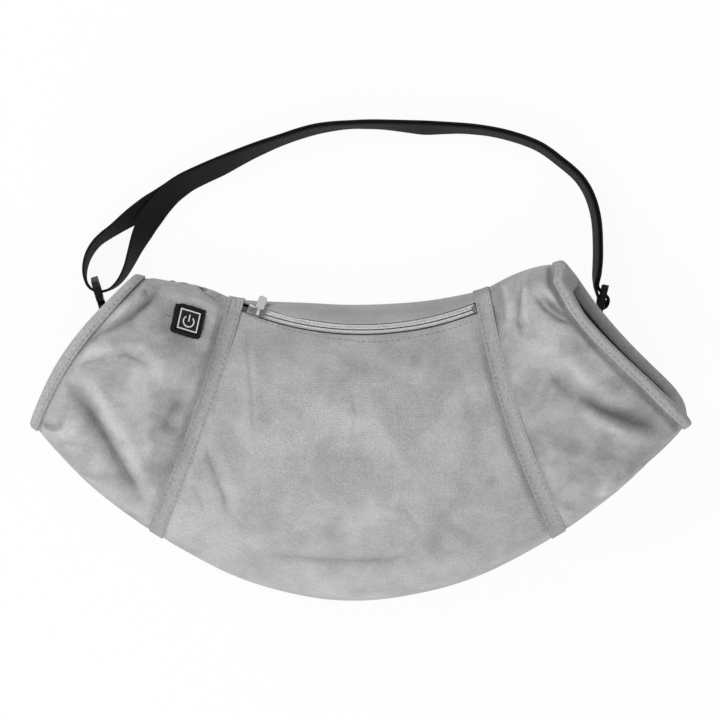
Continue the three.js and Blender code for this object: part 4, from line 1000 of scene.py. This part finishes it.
def section(half_width, half_depth):
    """A flat strap's outline with rounded edges, as shares across and through."""
    edge = half_depth / half_width
    flat = np.linspace(-1 + edge, 1 - edge, FACE_POINTS)
    bend = [math.pi * (step + 1) / (EDGE_POINTS + 1) for step in range(EDGE_POINTS)]
    upper = [(x, 1) for x in flat]
    right = [(flat[-1] + edge * math.sin(a), math.cos(a)) for a in bend]
    lower = [(x, -1) for x in flat[::-1]]
    left = [(flat[0] - edge * math.sin(a), -math.cos(a)) for a in bend]
    return np.array(upper + right + lower + left)


print("the outline has", len(section(10, 1)), "points")

# %% [markdown]
# ## The strap's webbing
# The outline is set at each point of the finer curve, and faces join it to the next one. Then the
# attributes for the ribs are stored: how far across the strap each point is, and how far along.

# %% Strap webbing
SPLITS = 3
stops = finer(coarse_stops, SPLITS)
middles = stops.mean(axis=1)
across = (stops[:, 0] + stops[:, 3] - stops[:, 1] - stops[:, 2]) / 4
through = (stops[:, 0] + stops[:, 1] - stops[:, 2] - stops[:, 3]) / 4
half_width = np.linalg.norm(across, axis=1).mean()
half_depth = np.linalg.norm(through, axis=1).mean()
outline = section(half_width, half_depth)
bm = bmesh.new()
rings = [[bm.verts.new(middle + x * wide + y * deep) for x, y in outline]
         for middle, wide, deep in zip(middles, across, through)]
for ring, beyond in zip(rings, rings[1:]):
    for side in range(len(outline)):
        other = (side + 1) % len(outline)
        bm.faces.new((ring[side], ring[other], beyond[other], beyond[side]))
bm.faces.new(rings[0][::-1])
bm.faces.new(rings[-1])
bmesh.ops.recalc_face_normals(bm, faces=bm.faces)
strap = new_piece(bm, "strap_cloth")
strap.data.polygons.foreach_set("use_smooth", [True] * len(strap.data.polygons))
travelled = np.concatenate([[0], np.cumsum(np.linalg.norm(np.diff(middles, axis=0), axis=1))])
store(strap, "along", np.repeat(travelled / MM, len(outline)))
store(strap, "across", np.tile(outline[:, 0] * half_width / MM, len(middles)))
dress(strap, strap_cloth, "black_webbing", "strap_webbing", body="strap")
print("strap", round(travelled[-1], 3), "m long,", round(half_width * 2 / MM, 2), "mm wide")

# %% [markdown]
# ## The switch
# A black square of cloth with a cut edge is sewn on the left panel, and the button stands under its
# window. Both are tilted, so they are made flat, in millimetres, in the button's own place, and
# then set down there by one matrix.

# %% The button's place
SWITCH_OUT = Vector((0.3389, 0.2076, 0.91763)).normalized()
SWITCH_TURN = math.radians(-12)
TOP_SKIN = 0.0001
turned = Vector((math.cos(SWITCH_TURN), math.sin(SWITCH_TURN), 0))
switch_top = SWITCH_OUT.cross(turned).normalized()
switch_side = switch_top.cross(SWITCH_OUT)
button_points = [v.co for v in nodes["switch_button"].data.vertices]
button_level = max(point.dot(SWITCH_OUT) for point in button_points)
button_upper = [point for point in button_points if point.dot(SWITCH_OUT) > button_level - TOP_SKIN]
switch_middle = sum(button_upper, Vector()) / len(button_upper)
switch_middle += SWITCH_OUT * (button_level - switch_middle.dot(SWITCH_OUT))
facing_out = Matrix((switch_side, switch_top, SWITCH_OUT)).transposed().to_4x4()
ON_BUTTON = Matrix.Translation(switch_middle) @ facing_out @ Matrix.Scale(MM, 4)
UNDER_BUTTON = ON_BUTTON.inverted()
print("the button's face is", round(button_level / MM, 1), "mm out along its own direction")

# %% [markdown]
# ## The patch
# A flat grid with a window is dropped onto the solid of the patch, so that it follows the panel's
# curve, and gets its thickness from solidify. Its outer points are moved in and out a little: a
# straight edge would look like plastic, where this one is cut and slightly frayed.

# %% Switch patch
WINDOW_HALF = 7.8
PATCH_HALF = 10.2
PATCH_CELLS = 34
PATCH_THICKNESS = 0.95
INSIDE = 0.4
RAY_START = 20
TOOTH, FRAY = 0.03, 0.05


def tree_of(piece):
    """The piece's faces, ready to be hit by a ray."""
    points = [v.co for v in piece.data.vertices]
    return BVHTree.FromPolygons(points, [tuple(face.vertices) for face in piece.data.polygons])


patch_tree = tree_of(nodes["switch_patch"])


def patch_level(x, y):
    """The height of the patch's solid over the button's face, in millimetres."""
    reach = max(abs(x), abs(y))
    held = min(max(reach, WINDOW_HALF + INSIDE), PATCH_HALF - 2 * INSIDE) / reach
    start = ON_BUTTON @ Vector((x * held, y * held, RAY_START))
    return (UNDER_BUTTON @ patch_tree.ray_cast(start, -SWITCH_OUT)[0]).z


bm = bmesh.new()
bmesh.ops.create_grid(bm, x_segments=PATCH_CELLS, y_segments=PATCH_CELLS, size=PATCH_HALF)
window = [face for face in bm.faces if max(map(abs, face.calc_center_median()[:2])) < WINDOW_HALF]
bmesh.ops.delete(bm, geom=window, context="FACES")
cell = 2 * PATCH_HALF / PATCH_CELLS
for vert in bm.verts:
    x, y = vert.co.xy
    if max(abs(x), abs(y)) > PATCH_HALF - cell / 2:
        tooth = TOOTH * (-1) ** round((x + y) / cell) + FRAY * noise.noise((x, y, 4.0))
        vert.co.x, vert.co.y = x * (1 + tooth), y * (1 + tooth)
    vert.co.z = patch_level(x, y)
bmesh.ops.solidify(bm, geom=bm.faces[:], thickness=PATCH_THICKNESS)
bmesh.ops.transform(bm, matrix=ON_BUTTON, verts=bm.verts)
bmesh.ops.recalc_face_normals(bm, faces=bm.faces)
patch = dress(new_piece(bm, "switch_patch_cloth"), patch_cloth, "black_webbing", "switch_patch")
cloth["switch_patch"] = patch
print("patch", len(patch.data.polygons), "faces,", round(cloth_area(patch) * 1e4, 2), "cm2")

# %% [markdown]
# ## The print on the button
# A white frame and the usual sign for power are printed on the button. A picture could be laid on
# it, but a thin mesh stays sharp however near the camera comes. A grid with an inset makes the
# frame, a short line that is spun makes the open ring, and one more grid is the bar.

# %% Printed square and power sign
PRINT_DEPTH = 0.12
PRINT_LEVEL = 0.01
LINE_HALF = 0.42
FRAME_HALF = 6.5
SIGN_RADIUS = 3.6
SIGN_DROP = -0.7
SIGN_GAP = math.radians(38)
SIGN_STEPS = 36
BAR_HALF = SIGN_RADIUS * 0.65
FRAME_SIZE = FRAME_HALF + LINE_HALF

bm = bmesh.new()
corner = bmesh.ops.create_grid(bm, x_segments=1, y_segments=1, size=FRAME_SIZE)["verts"][0]
square = corner.link_faces[0]
bmesh.ops.inset_region(bm, faces=[square], thickness=2 * LINE_HALF, use_boundary=True,
                       use_even_offset=True)
bmesh.ops.delete(bm, geom=[square], context="FACES")
start = Vector((-math.sin(SIGN_GAP), math.cos(SIGN_GAP), 0))
centre = Vector((0, SIGN_DROP, 0))
ends = [bm.verts.new(centre + start * (SIGN_RADIUS + side * LINE_HALF)) for side in (-1, 1)]
line = bm.edges.new(ends)
bmesh.ops.spin(bm, geom=[*ends, line], cent=centre, axis=(0, 0, 1),
               angle=2 * (math.pi - SIGN_GAP), steps=SIGN_STEPS, use_duplicate=False)
bar = Matrix.Translation(centre + Vector((0, BAR_HALF, 0)))
bar @= Matrix.Diagonal((LINE_HALF, BAR_HALF, 1, 1))
bmesh.ops.create_grid(bm, x_segments=1, y_segments=1, size=1, matrix=bar)
bmesh.ops.solidify(bm, geom=bm.faces[:], thickness=PRINT_DEPTH)
lowest = min(vert.co.z for vert in bm.verts)
bmesh.ops.translate(bm, vec=(0, 0, PRINT_LEVEL - lowest), verts=bm.verts)
bmesh.ops.transform(bm, matrix=ON_BUTTON, verts=bm.verts)
bmesh.ops.recalc_face_normals(bm, faces=bm.faces)
printed = dress(new_piece(bm, "button_print"), print_white, "black_plastic", body="button")
print("print", len(printed.data.polygons), "faces")

# %% [markdown]
# ## Stitches
# Each stitch is a small bead of thread, half sunk in the cloth. A bump could fake them, but they
# have to stand out against the light. A row is a line of picture points, dropped onto the cloth
# below it. Where the cloth is too steep, or two ends land on different layers, there is no stitch.

# %% Stitches
STITCH_LENGTH = 2.5
STITCH_GAP = 1.3
STITCH_HALF = 0.26
STITCH_FLAT = 0.8
STITCH_RISE = 0.06
STEEPEST = 0.25
LONGEST = 2.5
ABOVE = 0.3
LINE_SPLITS = 8


def add_stitch(bm, first, last, up):
    """A bead of thread between two places on the cloth."""
    along = (last - first).normalized()
    side = up.cross(along).normalized()
    turn = Matrix((side, along.cross(side), along)).transposed().to_4x4()
    thin, flat = STITCH_HALF * MM, STITCH_HALF * STITCH_FLAT * MM
    shape = Matrix.Diagonal((thin, flat, (last - first).length / 2, 1))
    place = Matrix.Translation((first + last) / 2 + up * STITCH_RISE * MM) @ turn @ shape
    bmesh.ops.create_uvsphere(bm, u_segments=6, v_segments=5, radius=1, matrix=place)


def stitch_row(bm, line, tree):
    """Adds stitches along a line, where the tree's cloth lies under it."""
    spots = finer(np.array([seen(*spot) for spot in line]), LINE_SPLITS)
    gone = np.concatenate([[0], np.cumsum(np.linalg.norm(np.diff(spots, axis=0), axis=1))])
    pitch = (STITCH_LENGTH + STITCH_GAP) * MM
    made = 0
    for start in np.arange(pitch / 2, gone[-1] - pitch, pitch):
        ends = []
        for place in (start, start + STITCH_LENGTH * MM):
            x, y = (np.interp(place, gone, spots[:, axis]) for axis in (0, 1))
            ends.append(tree.ray_cast(Vector((x, y, ABOVE)), Vector((0, 0, -1))))
        if any(spot is None or normal.z < STEEPEST for spot, normal, *_ in ends):
            continue
        (first, first_up, *_), (last, last_up, *_) = ends
        if (last - first).length < LONGEST * STITCH_LENGTH * MM:
            add_stitch(bm, first, last, (first_up + last_up).normalized())
            made += 1
    return made


print("one stitch and its gap are", STITCH_LENGTH + STITCH_GAP, "mm")

# %% [markdown]
# ## The rows of stitches
# Both edges of each seam tape are sewn, and one edge of each binding. Below the zip a row holds the
# pocket to the zip's tape. Each row is one piece of its own, so that its colour can be changed.

# %% Stitch rows: picture points
ROWS = {
    "left_tape_stitches": ("left_seam_tape", [
        [(232, 296.4), (229.4, 305.8), (226.8, 314.8), (221.7, 332.9), (213.1, 362.3),
         (200.9, 400.9), (186.6, 441.7), (171.9, 480.4), (160, 510), (153.4, 525.9),
         (150.6, 532.7)],
        [(242.4, 298.2), (239.5, 309), (236.9, 318.2), (231.8, 336.6), (223.1, 366.5),
         (210.7, 405.5), (196.2, 446.7), (181.2, 485.6), (169.1, 515.4), (162.4, 531.4),
         (159.6, 538.3)]]),
    "right_tape_stitches": ("right_seam_tape", [
        [(477.3, 299.5), (479.6, 311.2), (481.4, 320.3), (485.2, 338.5), (492, 368.1),
         (502.8, 406.7), (516.7, 447.6), (532.2, 486.2), (545.1, 515.7), (552.2, 531.6),
         (555.3, 538.4)],
        [(487.5, 295.4), (489.7, 307.2), (491.5, 316.2), (495.1, 334.2), (501.7, 363.5),
         (512.3, 401.8), (526.1, 442.4), (541.5, 480.7), (554.4, 510), (561.5, 525.8),
         (564.6, 532.6)]]),
    "left_rim_stitches": ("left_rim_binding", [
        [(142.5, 276.1), (131, 288.4), (119.9, 300.4), (102.5, 319.7), (82.1, 344.8),
         (64.2, 371.2), (50.6, 396), (41.8, 414.8), (35.6, 429.3)]]),
    "right_rim_stitches": ("right_rim_binding", [
        [(554.9, 262.6), (556.4, 265.4), (555.3, 276.9), (555, 283.2), (561.9, 295.7),
         (573.8, 315.6), (595.9, 341.3), (623, 368.2), (649.4, 393.5), (669.3, 412.8),
         (685.3, 427.6)]]),
    "zip_stitches": ("pocket_panel", [
        [(246, 315), (262, 321), (280, 327), (298, 332), (335, 339), (375, 342), (410, 338),
         (447, 330), (475, 320)]]),
}
for name, (ground_name, lines) in ROWS.items():
    bm = bmesh.new()
    tree = tree_of(cloth[ground_name])
    made = sum(stitch_row(bm, line, tree) for line in lines)
    bmesh.ops.recalc_face_normals(bm, faces=bm.faces)
    row = dress(new_piece(bm, name), thread, "trim")
    row.data.polygons.foreach_set("use_smooth", [True] * len(row.data.polygons))
    print(name, made, "stitches")

# %% [markdown]

# %% [markdown]
# ## Floor
# A plain white floor. Seen by the camera it is mostly its own white, so that the picture's ground
# stays white and still shows a trace of the muff's shadow. A brighter lamp would whiten it too, but
# would burn out the pale cloth. Shiny and clear pieces see the same white as the camera.

# %% Floor
FLOOR_SIDE = 6
FLOOR_DROP = 0.0003
OWN_WHITE = 0.94
bm = bmesh.new()
bmesh.ops.create_grid(bm, x_segments=1, y_segments=1, size=FLOOR_SIDE / 2)
floor = new_piece(bm, "floor")
floor.location.z = -FLOOR_DROP
ground = Finish("white_ground", Roughness=0.9, Base_Color=(0.85, 0.85, 0.85, 1))
glow = ground.add("Emission", {}, {"Color": (1, 1, 1, 1), "Strength": 1.0})
rays = [ground.add("LightPath", {}, {}, kind)
        for kind in ("Is Camera Ray", "Is Glossy Ray", "Is Transmission Ray")]
own_share = sum(rays) * OWN_WHITE
lit = Signal(ground, ground.shader.outputs[0])
shown = ground.add("MixShader", {}, {0: own_share, 1: lit, 2: glow})
ground.feed(ground.tree.nodes["Material Output"].inputs["Surface"], shown)
floor.data.materials.append(ground.material)
print("floor", FLOOR_SIDE, "m wide")

# %% [markdown]
# ## The end
# The last cell prints one line.

# %% The end
print("the end")
